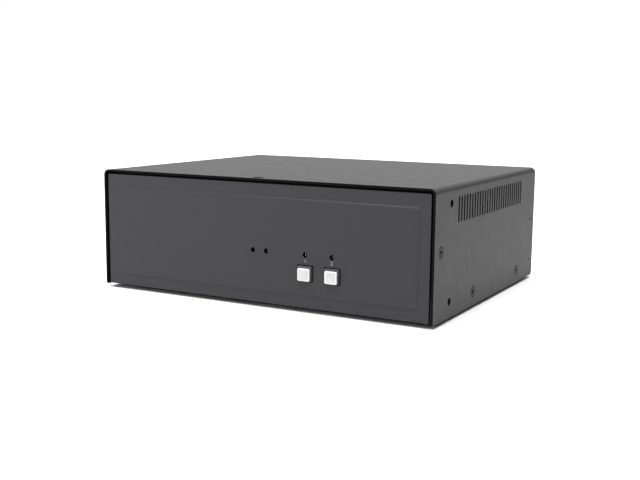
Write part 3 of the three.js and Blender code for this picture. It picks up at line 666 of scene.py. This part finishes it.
def front_panel_piece():
    face = from_front(PANEL_INSET)
    back = face + SHEET
    loops = plate_loops(face, 1)
    steps = 8
    for index in range(steps + 1):
        share = index / steps
        rise = PLATEAU["rise"] * share * share * (3 - 2 * share)
        outline = plateau_outline(PLATEAU["slope"] * share)
        loops.append([(u, face - rise, v) for u, v in outline])
    bm = bmesh.new()
    loft(bm, loops)
    obj = make("front_panel_sheet", bm)
    flanges = bmesh.new()
    side_flanges(flanges, back, 1)
    top_flange(flanges, back, 1)
    low_flange_and_studs(flanges, back)
    combine(obj, flanges, "UNION")
    cutters = bmesh.new()
    near, far = face - 2 * PLATEAU["rise"], back + SHEET
    for number in (1, 2):
        x, _, z = middle(f"switch_plunger_{number}")
        outline = rect_about(x, z, WINDOW["width"], WINDOW["height"], WINDOW["corner"], 5)
        prism(cutters, outline, "Y", near, far)
    for name in lamp_nodes():
        x, _, z = middle(name)
        turned(cutters, rod(LAMP_HOLE, near, far), "Y", (x, z))
    side_hole(cutters, from_front(BRACKET_HOLES[0][0]), above(BRACKET_HOLES[0][1]), BRACKET_THREAD)
    _, y, z = middle("cover_screw_right_front")
    side_hole(cutters, y, z, THREAD)
    x, y, _ = middle("cover_screw_top")
    turned(cutters, rod(THREAD, above(PANEL_TOP - 2 * SHEET), TOP_Z), "Z", (x, y))
    combine(obj, cutters, "DIFFERENCE")
    mark_hidden_side(obj, face, back, 1)
    soften(obj, 0.05)
    dress(obj, "panel_paint", "edge_paint")
    return fit(obj, CASE, "front_panel")


def socket_window(bm, node, near, far):
    """Cuts the opening of a rear socket: a little larger than its shell, round for a round barrel."""
    play = 0.3
    low, high = span(node)
    x = (low[0] + high[0]) / 2
    if node.startswith("audio_jack"):
        turned(bm, rod(AUDIO["radius"] + play, near, far), "Y", (x, low[2] + AUDIO["axis"]), 40)
        return
    bottom = low[2] + (VIDEO["seat"] if node.startswith("video_socket") else 0)
    outline = rounded_rect(low[0] - play, high[0] + play, bottom - play, high[2] + play, 0.5, 4)
    prism(bm, outline, "Y", near, far)


def rear_panel_piece():
    face = REAR_Y - PANEL_INSET
    back = face - SHEET
    bm = bmesh.new()
    loft(bm, plate_loops(face, -1))
    obj = make("rear_panel_sheet", bm)
    flanges = bmesh.new()
    side_flanges(flanges, back, -1)
    top_flange(flanges, back, -1)
    combine(obj, flanges, "UNION")
    cutters = bmesh.new()
    for node in socket_nodes():
        socket_window(cutters, node, back - 1, face + 1)
    combine(obj, cutters, "DIFFERENCE")
    mark_hidden_side(obj, face, back, -1)
    soften(obj, 0.06)
    dress(obj, "panel_paint", "edge_paint")
    return fit(obj, CASE, "rear_panel")


def digit_piece(name, text, x, face, z, height, outward):
    """A printed digit, standing a hair proud of the face; outward is the face's side along Y."""
    curve = bpy.data.curves.new(name, "FONT")
    curve.body = text
    curve.extrude = 0.5
    source = bpy.data.objects.new(name + "_source", curve)
    bpy.context.scene.collection.objects.link(source)
    bpy.context.view_layer.update()
    mesh = bpy.data.meshes.new_from_object(source.evaluated_get(bpy.context.evaluated_depsgraph_get()))
    bpy.data.objects.remove(source)
    places = [v.co.copy() for v in mesh.vertices]
    low = min(p.y for p in places)
    scale = height / (max(p.y for p in places) - low)
    centre = (max(p.x for p in places) + min(p.x for p in places)) / 2
    for vertex, p in zip(mesh.vertices, places):
        depth = face + outward * (DIGITS["proud"] if p.z > 0 else -DIGITS["proud"])
        side = (p.x - centre) * scale * -outward
        vertex.co = Vector((x + side, depth, z - height / 2 + (p.y - low) * scale)) * MM
    obj = bpy.data.objects.new(name, mesh)
    bpy.context.scene.collection.objects.link(obj)
    dress(obj, "legend_ink")
    return fit(obj, CASE)


# ---------------------------------------------------------------- buttons

def lens_piece(number):
    """White cap: a rounded edge, a flat rim, a fine groove and a flat insert."""
    node = f"switch_lens_{number}"
    low, high = span(node)
    x, _, z = middle(node)
    width, height = high[0] - low[0], high[2] - low[2]
    edge, back_edge, rim, groove, sunk, fall = 0.25, 0.1, 0.85, 0.2, 0.25, 0.02
    rim_dip, insert_dip = 0.03, 0.05
    corner, rim_corner, insert_corner = 0.9, 0.4, 0.3

    def ring(inset, y, radius):
        return [(u, y, v) for u, v in rect_about(x, z, width - 2 * inset, height - 2 * inset, radius)]

    loops = [ring(back_edge, high[1], corner - back_edge), ring(0, high[1] - back_edge, corner)]
    steps = 4
    for step in range(steps + 1):
        angle = math.radians(90 * step / steps)
        inset = edge * (1 - math.cos(angle))
        loops.append(ring(inset, low[1] + edge * (1 - math.sin(angle)), corner - inset))
    loops.append(ring(rim, low[1] + rim_dip, rim_corner))
    loops.append(ring(rim + fall, low[1] + sunk, rim_corner - fall))
    loops.append(ring(rim + groove, low[1] + sunk, insert_corner))
    loops.append(ring(rim + groove + fall, low[1] + insert_dip, insert_corner - fall))
    bm = bmesh.new()
    loft(bm, loops)[-1].material_index = 1
    obj = make(f"button_lens_{number}", bm, 50)
    dress(obj, "lens_white", "lens_insert")
    return fit(obj, BUTTON_BODY.format(number), node)


def plunger_piece(number):
    node = f"switch_plunger_{number}"
    low, high = span(node)
    x, _, z = middle(node)
    shoulder, overlap, stem, stem_edge = from_front(5), 1, 1.8, 0.3
    outline = rect_about(x, z, high[0] - low[0], high[2] - low[2], 0.6)
    bm = bmesh.new()
    prism(bm, outline, "Y", low[1], shoulder)
    obj = make(f"button_plunger_{number}", bm)
    profile = [(0, shoulder - overlap), (stem, shoulder - overlap), (stem, high[1] - stem_edge),
               (stem - stem_edge, high[1]), (0, high[1])]
    rear = bmesh.new()
    turned(rear, profile, "Y", (x, z), 24)
    combine(obj, rear, "UNION")
    soften(obj, 0.2, 3)
    dress(obj, "plunger_grey")
    return fit(obj, BUTTON_BODY.format(number), node)


def spring_piece(number):
    """Coil spring with closed ends."""
    node = f"switch_spring_{number}"
    low, high = span(node)
    x, _, z = middle(node)
    wire = 0.25
    radius = (high[0] - low[0]) / 2 - wire
    turns, per_turn, sides = 3.5, 20, 8
    start, end = low[1] + wire, high[1] - wire
    loops = []
    total = int(turns * per_turn)
    for index in range(total + 1):
        share = index / total
        angle = 2 * math.pi * turns * share
        along = start + (end - start) * share
        outward = Vector((math.cos(angle), 0, math.sin(angle)))
        centre = Vector((x, along, z)) + outward * radius
        ring = []
        for side in range(sides):
            turn = 2 * math.pi * side / sides
            rise = Vector((0, wire * math.sin(turn), 0))
            ring.append(tuple(centre + outward * wire * math.cos(turn) + rise))
        loops.append(ring)
    bm = bmesh.new()
    loft(bm, loops)
    obj = make(f"return_spring_{number}", bm)
    dress(obj, "spring_steel")
    fit(obj, CASE, node)
    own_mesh(obj)
    return obj


# ---------------------------------------------------------------- lamps

LAMP_COLOURS = {
    "led_status_a": "green",
    "led_status_b": "red",
    "led_port_1": "clear",
    "led_port_2": "clear",
}
LAMP = {"radius": 1.5, "rim_near": 6.2, "rim_far": 7.2, "rim_edge": 0.1}
LEAD = {"apart": 1.27, "half": 0.25}
PAINTED_GLINT = {"x": -0.85, "z": -0.5, "radius": 0.48}  # painted glint: a pale patch on the lamp's dome, seen low in it


def lamp_nodes():
    return sorted(LAMP_COLOURS)


def lamp_piece(node):
    """Domed lamp with a rim and two leads."""
    low, high = span(node)
    x, _, z = middle(node)
    radius, rim, edge, steps = LAMP["radius"], (high[0] - low[0]) / 2, LAMP["rim_edge"], 8
    tip = low[1]
    rim_near, rim_far = from_front(LAMP["rim_near"]), from_front(LAMP["rim_far"])
    profile = []
    for index in range(steps + 1):
        angle = math.radians(90 * index / steps)
        profile.append((radius * math.sin(angle), tip + radius * (1 - math.cos(angle))))
    profile += [(radius, rim_near), (rim - edge, rim_near), (rim, rim_near + edge)]
    profile += [(rim, rim_far), (0, rim_far)]
    bm = bmesh.new()
    turned(bm, profile, "Y", (x, z), 28)
    half = LEAD["half"]
    for lead_x in (x - LEAD["apart"], x + LEAD["apart"]):
        block(bm, (lead_x - half, rim_far, z - half), (lead_x + half, high[1], z + half), 1)
    obj = make(node.replace("led", "lamp"), bm)
    # Painted glint: dome faces near this spot get a pale colour.
    glint_spot = Vector((x + PAINTED_GLINT["x"], z + PAINTED_GLINT["z"]))

    def over_chip(centre, _):
        return centre.y < tip + radius and (centre.xz - glint_spot).length < PAINTED_GLINT["radius"]

    mark_faces(obj, over_chip, 2)
    colour = LAMP_COLOURS[node]
    dress(obj, "lamp_" + colour, "screw_steel", "die_" + colour)
    return fit(obj, CASE, node)


# ---------------------------------------------------------------- screws and feet

def cover_screw_piece(node):
    """Countersunk cross-head screw, blackened."""
    low, high = span(node)
    centre = middle(node)
    if node.endswith("top"):
        axis, face, outward, spot = "Z", high[2], 1, (centre[0], centre[1])
    elif centre[0] > 0:
        axis, face, outward, spot = "X", high[0], 1, (centre[1], centre[2])
    else:
        axis, face, outward, spot = "X", low[0], -1, (centre[1], centre[2])
    place = PLACE[axis]

    def along(distance):
        return face - outward * distance

    head, shank, length, edge, point = (SCREW[key] for key in ("head", "shank", "length", "edge", "point"))
    profile = [(0, along(length)), (shank - point, along(length)), (shank, along(length - point))]
    profile += [(shank, along(SHEET - SCREW_SINK)), (head, along(edge))]
    profile += [(head - edge, along(0)), (0, along(0))]
    bm = bmesh.new()
    turned(bm, profile, axis, spot, 36)
    obj = make(node.replace("cover_screw", "case_screw"), bm)
    recess = bmesh.new()
    arm, blade, depth = CROSS["arm"], CROSS["blade"], CROSS["depth"]
    for upright in (False, True):
        loops = []
        for inset, distance in ((0, -CROSS["past"]), (CROSS["taper"], depth)):
            half_u, half_v = (blade, arm - inset) if upright else (arm - inset, blade)
            corners = [(-half_u, -half_v), (half_u, -half_v), (half_u, half_v), (-half_u, half_v)]
            loops.append([place(spot[0] + u, spot[1] + v, along(distance)) for u, v in corners])
        loft(recess, loops)
    combine(obj, recess, "DIFFERENCE")
    soften(obj, 0.05)
    lengthwise = "XYZ".index(axis)
    margin = 0.05

    # Painted shade: faces inside the cross recess get the near-black paint.
    def in_recess(centre, _):
        down = outward * (face - centre[lengthwise])
        aside = centre - Vector(place(*spot, centre[lengthwise]))
        return 2 * margin < down < depth + margin and aside.length < arm + margin

    mark_faces(obj, in_recess)
    # The top screw's head takes screw_shadow, a darker copy of the screw paint that stands for shade.
    dress(obj, "screw_shadow" if axis == "Z" else "screw_black", "edge_paint")
    return fit(obj, CASE, node)


def foot_piece(node):
    """Tapered rubber foot with a rounded lower rim and a dent in the middle."""
    low, high = span(node)
    x, y, _ = middle(node)
    top_radius, low_radius, rim, dent, slope = 6.5, 5.4, 0.5, 2.0, 0.3
    top_edge, top_fall = 0.15, 0.2
    profile = [(0, low[2] + rim), (dent, low[2] + rim), (dent + slope, low[2])]
    profile += arc(low_radius - rim, low[2] + rim, rim, -90, -10, 6)
    profile += [(top_radius, high[2] - top_fall), (top_radius - top_edge, high[2]), (0, high[2])]
    bm = bmesh.new()
    turned(bm, profile, "Z", (x, y), 40)
    obj = make(node.replace("foot", "rubber_foot"), bm)
    dress(obj, "foot_rubber")
    return fit(obj, CASE, node)


# ---------------------------------------------------------------- rear sockets

INSERT, CONTACT = 1, 2  # material numbers of a socket's insulator and of its contacts
VIDEO = {"height": 6.0, "seat": 0.5, "depth": 15.0, "bore": 11.0, "wall": 0.5, "chamfer": 2.0}
VIDEO_SEAT = {"half": 7, "front": 2, "back": 14, "height": 1}
VIDEO_TONGUE = {"half": 6.6, "tip": 1.2, "root": 12.0, "half_height": 0.7, "contacts": 10}
USB_A = {"bore": 12.0, "bays": (1.2, 9.2), "half": 6.25, "height": 5.1}
USB_A_TONGUE = {"half": 5.5, "tip": 0.8, "root": 13.0, "low": 2.9, "high": 4.7, "contacts": 4}
USB_B = {"bore": 12.0, "half": 4.25, "low": 1.5, "high": 9.3, "chamfer": 1.6}
USB_B_TONGUE = {"half": 2.8, "tip": 1.2, "root": 13.0, "low": 3.8, "high": 7.0, "contacts": 2}
AUDIO = {"radius": 3.8, "bore_radius": 1.8, "bore": 12.5, "axis": 5.0, "barrel": 5.2, "wall": 0.6}
POWER = {"axis": 6.2, "bore_radius": 3.2, "bore": 9.5, "pin": 1.0, "tip": 1.0}


def socket_nodes():
    starts = ("video_socket", "usb_", "audio_jack", "power_jack")
    return [name for name in frame["nodes"] if name.startswith(starts)]


def socket_place(node):
    """A rear socket's middle along X, its mouth along Y and its seat along Z."""
    low, high = span(node)
    return (low[0] + high[0]) / 2, high[1], low[2]


def contact_row(bm, x, z, y_tip, y_root, half, count, side):
    """Gold strips along one face of a tongue; side is 1 on its upper face and -1 on its lower face."""
    pitch = 2 * half / count
    proud, deep, half_strip = 0.06, 0.1, pitch * 0.28
    for index in range(count):
        cx = x - half + (index + 0.5) * pitch
        zs = sorted((z + side * proud, z - side * deep))
        block(bm, (cx - half_strip, y_root, zs[0]), (cx + half_strip, y_tip, zs[1]), CONTACT)


def tongue(bm, x, mouth, low, high, shape, sides):
    """Insulator in the middle of a socket, with contacts on the given faces."""
    half = shape["half"]
    tip, root = mouth - shape["tip"], mouth - shape["root"]
    outline = filleted([(x - half, low), (x + half, low), (x + half, high), (x - half, high)], 0.2)
    prism(bm, outline, "Y", root, tip, INSERT)
    for side in sides:
        contact_row(bm, x, high if side > 0 else low, tip - 0.5, root, half * 0.92, shape["contacts"], side)


def video_outline(x, z, width, height, inset):
    """Section of a video socket: a rectangle with one corner cut off."""
    left, right = x - width / 2 + inset, x + width / 2 - inset
    low, high = z - height / 2 + inset, z + height / 2 - inset
    chamfer = VIDEO["chamfer"] - inset * 0.4
    points = [(left + chamfer, low), (right, low), (right, high), (left, high), (left, low + chamfer)]
    return filleted(points, max(0.6 - inset * 0.6, 0.2))


def video_socket_piece(node):
    x, mouth, base = socket_place(node)
    low, high = span(node)
    z = base + VIDEO["seat"] + VIDEO["height"] / 2
    lip, wall = 0.12, VIDEO["wall"]
    section = ((0, mouth - VIDEO["depth"]), (0, mouth - lip), (lip, mouth), (wall - lip, mouth),
               (wall, mouth - lip), (wall, mouth - VIDEO["bore"]))
    bm = bmesh.new()
    loops = []
    for inset, y in section:
        outline = video_outline(x, z, high[0] - low[0], VIDEO["height"], inset)
        loops.append([(u, y, v) for u, v in outline])
    loft(bm, loops)[-1].material_index = INSERT
    half_height = VIDEO_TONGUE["half_height"]
    tongue(bm, x, mouth, z - half_height, z + half_height, VIDEO_TONGUE, (-1, 1))
    half, back, front, height = (VIDEO_SEAT[key] for key in ("half", "back", "front", "height"))
    block(bm, (x - half, mouth - back, base), (x + half, mouth - front, base + height))
    obj = make(node + "_shell", bm)
    dress(obj, "connector_shell", "black_plastic", "contact_gold")
    return fit(obj, CASE, node)


def usb_a_piece(node):
    """Two sockets, one over the other, in one folded shell."""
    x, mouth, base = socket_place(node)
    low, high = span(node)
    bm = bmesh.new()
    outline = rounded_rect(low[0], high[0], low[2], high[2], 0.6, 5)
    prism(bm, outline, "Y", low[1], mouth)
    obj = make(node + "_shell", bm)
    bays = bmesh.new()
    for bay in USB_A["bays"]:
        left, right, bottom = x - USB_A["half"], x + USB_A["half"], base + bay
        outline = rounded_rect(left, right, bottom, bottom + USB_A["height"], 0.4, 4)
        prism(bays, outline, "Y", mouth - USB_A["bore"], mouth + 1)
    combine(obj, bays, "DIFFERENCE")
    mark_faces(obj, lambda centre, normal: normal.y > 0.9 and centre.y < mouth - 1, INSERT)
    inner = bmesh.new()
    for bay in USB_A["bays"]:
        tongue(inner, x, mouth, base + bay + USB_A_TONGUE["low"], base + bay + USB_A_TONGUE["high"],
               USB_A_TONGUE, (-1,))
    add_bodies(obj, inner)
    soften(obj, 0.12)
    dress(obj, "connector_shell", "black_plastic", "contact_gold")
    return fit(obj, CASE, node)


def usb_b_piece(node):
    """Nearly square socket whose mouth has two cut upper corners."""
    x, mouth, base = socket_place(node)
    low, high = span(node)
    bm = bmesh.new()
    prism(bm, rounded_rect(low[0], high[0], low[2], high[2], 0.6, 5), "Y", low[1], mouth)
    obj = make(node + "_shell", bm)
    half, chamfer = USB_B["half"], USB_B["chamfer"]
    bottom, top = base + USB_B["low"], base + USB_B["high"]
    points = [(x - half, bottom), (x + half, bottom), (x + half, top - chamfer), (x + half - chamfer, top),
              (x - half + chamfer, top), (x - half, top - chamfer)]
    bay = bmesh.new()
    prism(bay, filleted(points, 0.4), "Y", mouth - USB_B["bore"], mouth + 1)
    combine(obj, bay, "DIFFERENCE")
    mark_faces(obj, lambda centre, normal: normal.y > 0.9 and centre.y < mouth - 1, INSERT)
    inner = bmesh.new()
    tongue(inner, x, mouth, base + USB_B_TONGUE["low"], base + USB_B_TONGUE["high"], USB_B_TONGUE, (-1, 1))
    add_bodies(obj, inner)
    soften(obj, 0.12)
    dress(obj, "connector_shell", "ivory_plastic", "contact_gold")
    return fit(obj, CASE, node)


def drilled_housing(name, node, back_of_mouth, radius, bore, axis_z):
    """Black block behind a round opening."""
    x, mouth, _ = socket_place(node)
    low, high = span(node)
    bm = bmesh.new()
    block(bm, low, (high[0], mouth - back_of_mouth, high[2]))
    obj = make(name, bm)
    hole = bmesh.new()
    turned(hole, rod(radius, mouth - bore, mouth + 1), "Y", (x, axis_z))
    combine(obj, hole, "DIFFERENCE")
    return obj


def audio_jack_piece(node):
    """Coloured round barrel on a black housing."""
    x, mouth, base = socket_place(node)
    axis = base + AUDIO["axis"]
    outer, inner, barrel = AUDIO["radius"], AUDIO["bore_radius"], AUDIO["barrel"]
    chamfer, floor, overlap, squeeze = 0.3, 0.3, 1, 0.1
    tube = inner + AUDIO["wall"]
    obj = drilled_housing(node + "_housing", node, barrel - overlap, tube - squeeze, AUDIO["bore"], axis)
    mark_faces(obj, lambda centre, normal: True)
    bottom = mouth - AUDIO["bore"] + 0.5
    profile = [(0, bottom), (inner, bottom), (inner, mouth - chamfer), (inner + chamfer, mouth),
               (outer - chamfer, mouth), (outer, mouth - chamfer), (outer, mouth - barrel),
               (tube, mouth - barrel), (tube, bottom - floor), (0, bottom - floor)]
    sleeve = bmesh.new()
    turned(sleeve, profile, "Y", (x, axis), 40)
    add_bodies(obj, sleeve)
    soften(obj, 0.12)
    dress(obj, "audio_green" if node.endswith("out") else "audio_pink", "black_plastic")
    return fit(obj, CASE, node)


def power_jack_piece(node):
    """Black block with a round opening and a centre pin."""
    x, mouth, base = socket_place(node)
    axis = base + POWER["axis"]
    obj = drilled_housing(node + "_housing", node, 0, POWER["bore_radius"], POWER["bore"], axis)
    pin, tip = POWER["pin"], mouth - POWER["tip"]
    root = mouth - POWER["bore"] - 1
    profile = [(0, root), (pin, root), (pin, tip - pin)]
    profile += [(u, tip - pin + v) for u, v in arc(0, 0, pin, 15, 75, 4)] + [(0, tip)]
    contact = bmesh.new()
    turned(contact, profile, "Y", (x, axis), 24, 1)
    add_bodies(obj, contact)
    soften(obj, 0.15)
    dress(obj, "black_plastic", "screw_steel")
    return fit(obj, CASE, node)


def socket_piece(node):
    makers = {"video": video_socket_piece, "usb_a": usb_a_piece, "usb_b": usb_b_piece,
              "audio": audio_jack_piece, "power": power_jack_piece}
    return next(make_it for start, make_it in makers.items() if node.startswith(start))(node)


# ---------------------------------------------------------------- stage, light and camera

VIEW = {"azimuth": 28.880, "elevation": 8.754, "roll": 0.536, "distance": 502.6, "lens": 54.2}
AIM = (40.80, FRONT_Y, above(38.26))


def make_camera():
    azimuth, elevation, roll = (math.radians(VIEW[key]) for key in ("azimuth", "elevation", "roll"))
    back = Vector((math.sin(azimuth) * math.cos(elevation), -math.cos(azimuth) * math.cos(elevation),
                   math.sin(elevation)))
    right = (-back).cross(Vector((0, 0, 1))).normalized()
    up = right.cross(-back)
    across = right * math.cos(roll) + up * math.sin(roll)
    upright = up * math.cos(roll) - right * math.sin(roll)
    data = bpy.data.cameras.new("camera")
    data.lens = VIEW["lens"]
    data.sensor_width = 36
    data.clip_start = 0.01
    camera = bpy.data.objects.new("camera", data)
    place = (Vector(AIM) + back * VIEW["distance"]) * MM
    turn = Matrix((across, upright, back)).transposed().to_4x4()
    camera.matrix_world = Matrix.Translation(place) @ turn
    bpy.context.scene.collection.objects.link(camera)
    bpy.context.scene.camera = camera


def soft_box(name, place, aim, size, power):
    """Rectangular soft light at a place, turned towards the aim."""
    data = bpy.data.lights.new(name, "AREA")
    data.shape = "RECTANGLE"
    data.size, data.size_y = (side * MM for side in size)
    data.energy = power
    light = bpy.data.objects.new(name, data)
    direction = Vector(aim) - Vector(place)
    light.rotation_euler = direction.to_track_quat("-Z", "Y").to_euler()
    light.location = Vector(place) * MM
    bpy.context.scene.collection.objects.link(light)


def make_stage():
    """Plain pale floor, and colours shown as they are."""
    bm = bmesh.new()
    reach, thickness = 6000, 20
    block(bm, (-reach, -reach, -thickness), (reach, reach, 0))
    floor = make("floor", bm)
    paper = Surface("white_paper")
    paper.colour(paper.noise(300), (0.66, 0.66, 0.66), (0.68, 0.68, 0.68))
    paper.rough(paper.noise(50), 0.8, 0.9)
    floor.data.materials.append(paper.material)
    bpy.context.scene.view_settings.view_transform = "Standard"


WHITE = 1.02
DIM_SIDES = (
    {"toward": (-0.95, -0.3, 0), "edge": 0.55, "share": 0.1},
    {"toward": (1, 0.15, 0), "edge": 0.25, "share": 0.1},
    {"toward": (0.5, 0.87, 0), "edge": 0.8, "share": 0.2},
)  # where the surroundings are dim: a direction, the cosine at the dim field's edge, and what is left


def make_world():
    """White as the camera sees it; the light from it is dimmer towards the sides."""
    world = bpy.data.worlds.new("studio")
    world.use_nodes = True
    bpy.context.scene.world = world
    tree = world.node_tree
    background = tree.nodes["Background"]
    background.inputs["Color"].default_value = (1, 1, 1, 1)
    looking = tree.nodes.new("ShaderNodeTexCoord").outputs["Generated"]
    whole = None
    full = 0.95
    for dim in DIM_SIDES:
        toward = tree.nodes.new("ShaderNodeVectorMath")
        toward.operation = "DOT_PRODUCT"
        toward.inputs[1].default_value = Vector(dim["toward"]).normalized()
        tree.links.new(looking, toward.inputs[0])
        fade = tree.nodes.new("ShaderNodeMapRange")
        fade.interpolation_type = "SMOOTHSTEP"
        for socket, value in zip(RANGE_SOCKETS, (dim["edge"], full, 1, dim["share"])):
            fade.inputs[socket].default_value = value
        tree.links.new(toward.outputs["Value"], fade.inputs["Value"])
        product = tree.nodes.new("ShaderNodeMath")
        product.operation = "MULTIPLY"
        product.inputs[1].default_value = WHITE
        tree.links.new(fade.outputs["Result"], product.inputs[0])
        if whole is not None:
            tree.links.new(whole, product.inputs[1])
        whole = product.outputs["Value"]
    seen = tree.nodes.new("ShaderNodeMath")
    seen.operation = "MAXIMUM"
    tree.links.new(whole, seen.inputs[0])
    tree.links.new(tree.nodes.new("ShaderNodeLightPath").outputs["Is Camera Ray"], seen.inputs[1])
    tree.links.new(seen.outputs["Value"], background.inputs["Strength"])


def make_sun(name, azimuth, elevation, strength, spread):
    """Soft parallel light from there; azimuth turns from the front towards the right."""
    data = bpy.data.lights.new(name, "SUN")
    data.energy = strength * math.pi
    data.angle = math.radians(spread)
    light = bpy.data.objects.new(name, data)
    turn, lift = math.radians(azimuth), math.radians(elevation)
    source = Vector((math.sin(turn) * math.cos(lift), -math.cos(turn) * math.cos(lift), math.sin(lift)))
    light.rotation_euler = (-source).to_track_quat("-Z", "Y").to_euler()
    bpy.context.scene.collection.objects.link(light)


def make_lights():
    make_sun("overhead", -10, 80, 1.7, 50)
    make_sun("upper_front", 5, 50, 0.22, 40)
    soft_box("front_left", (-450, -480, 100), (-50, -80, 40), (350, 250), 0.5)


# ---------------------------------------------------------------- the whole

make_camera()
make_stage()
make_world()
make_lights()
cover_piece()
front_panel_piece()
rear_panel_piece()
plateau_face = from_front(PANEL_INSET - PLATEAU["rise"])
for number in (1, 2):
    lens_piece(number)
    plunger_piece(number)
    spring_piece(number)
    digit_piece(f"digit_{number}", str(number), DIGITS["xs"][number - 1], plateau_face,
                above(DIGITS["above_base"]), DIGITS["height"], -1)
for lamp in lamp_nodes():
    lamp_piece(lamp)
for screw in screw_nodes():
    cover_screw_piece(screw)
for socket in socket_nodes():
    socket_piece(socket)
for foot in [name for name in frame["nodes"] if name.startswith("foot_")]:
    foot_piece(foot)

slots = {entry["node"]: entry["material_slot"] for entry in frame["record"]["subparts"]}
for name, node in frame["nodes"].items():
    if not node.hide_render:
        dress(node, slots[name])
        soften(node, 0.1)
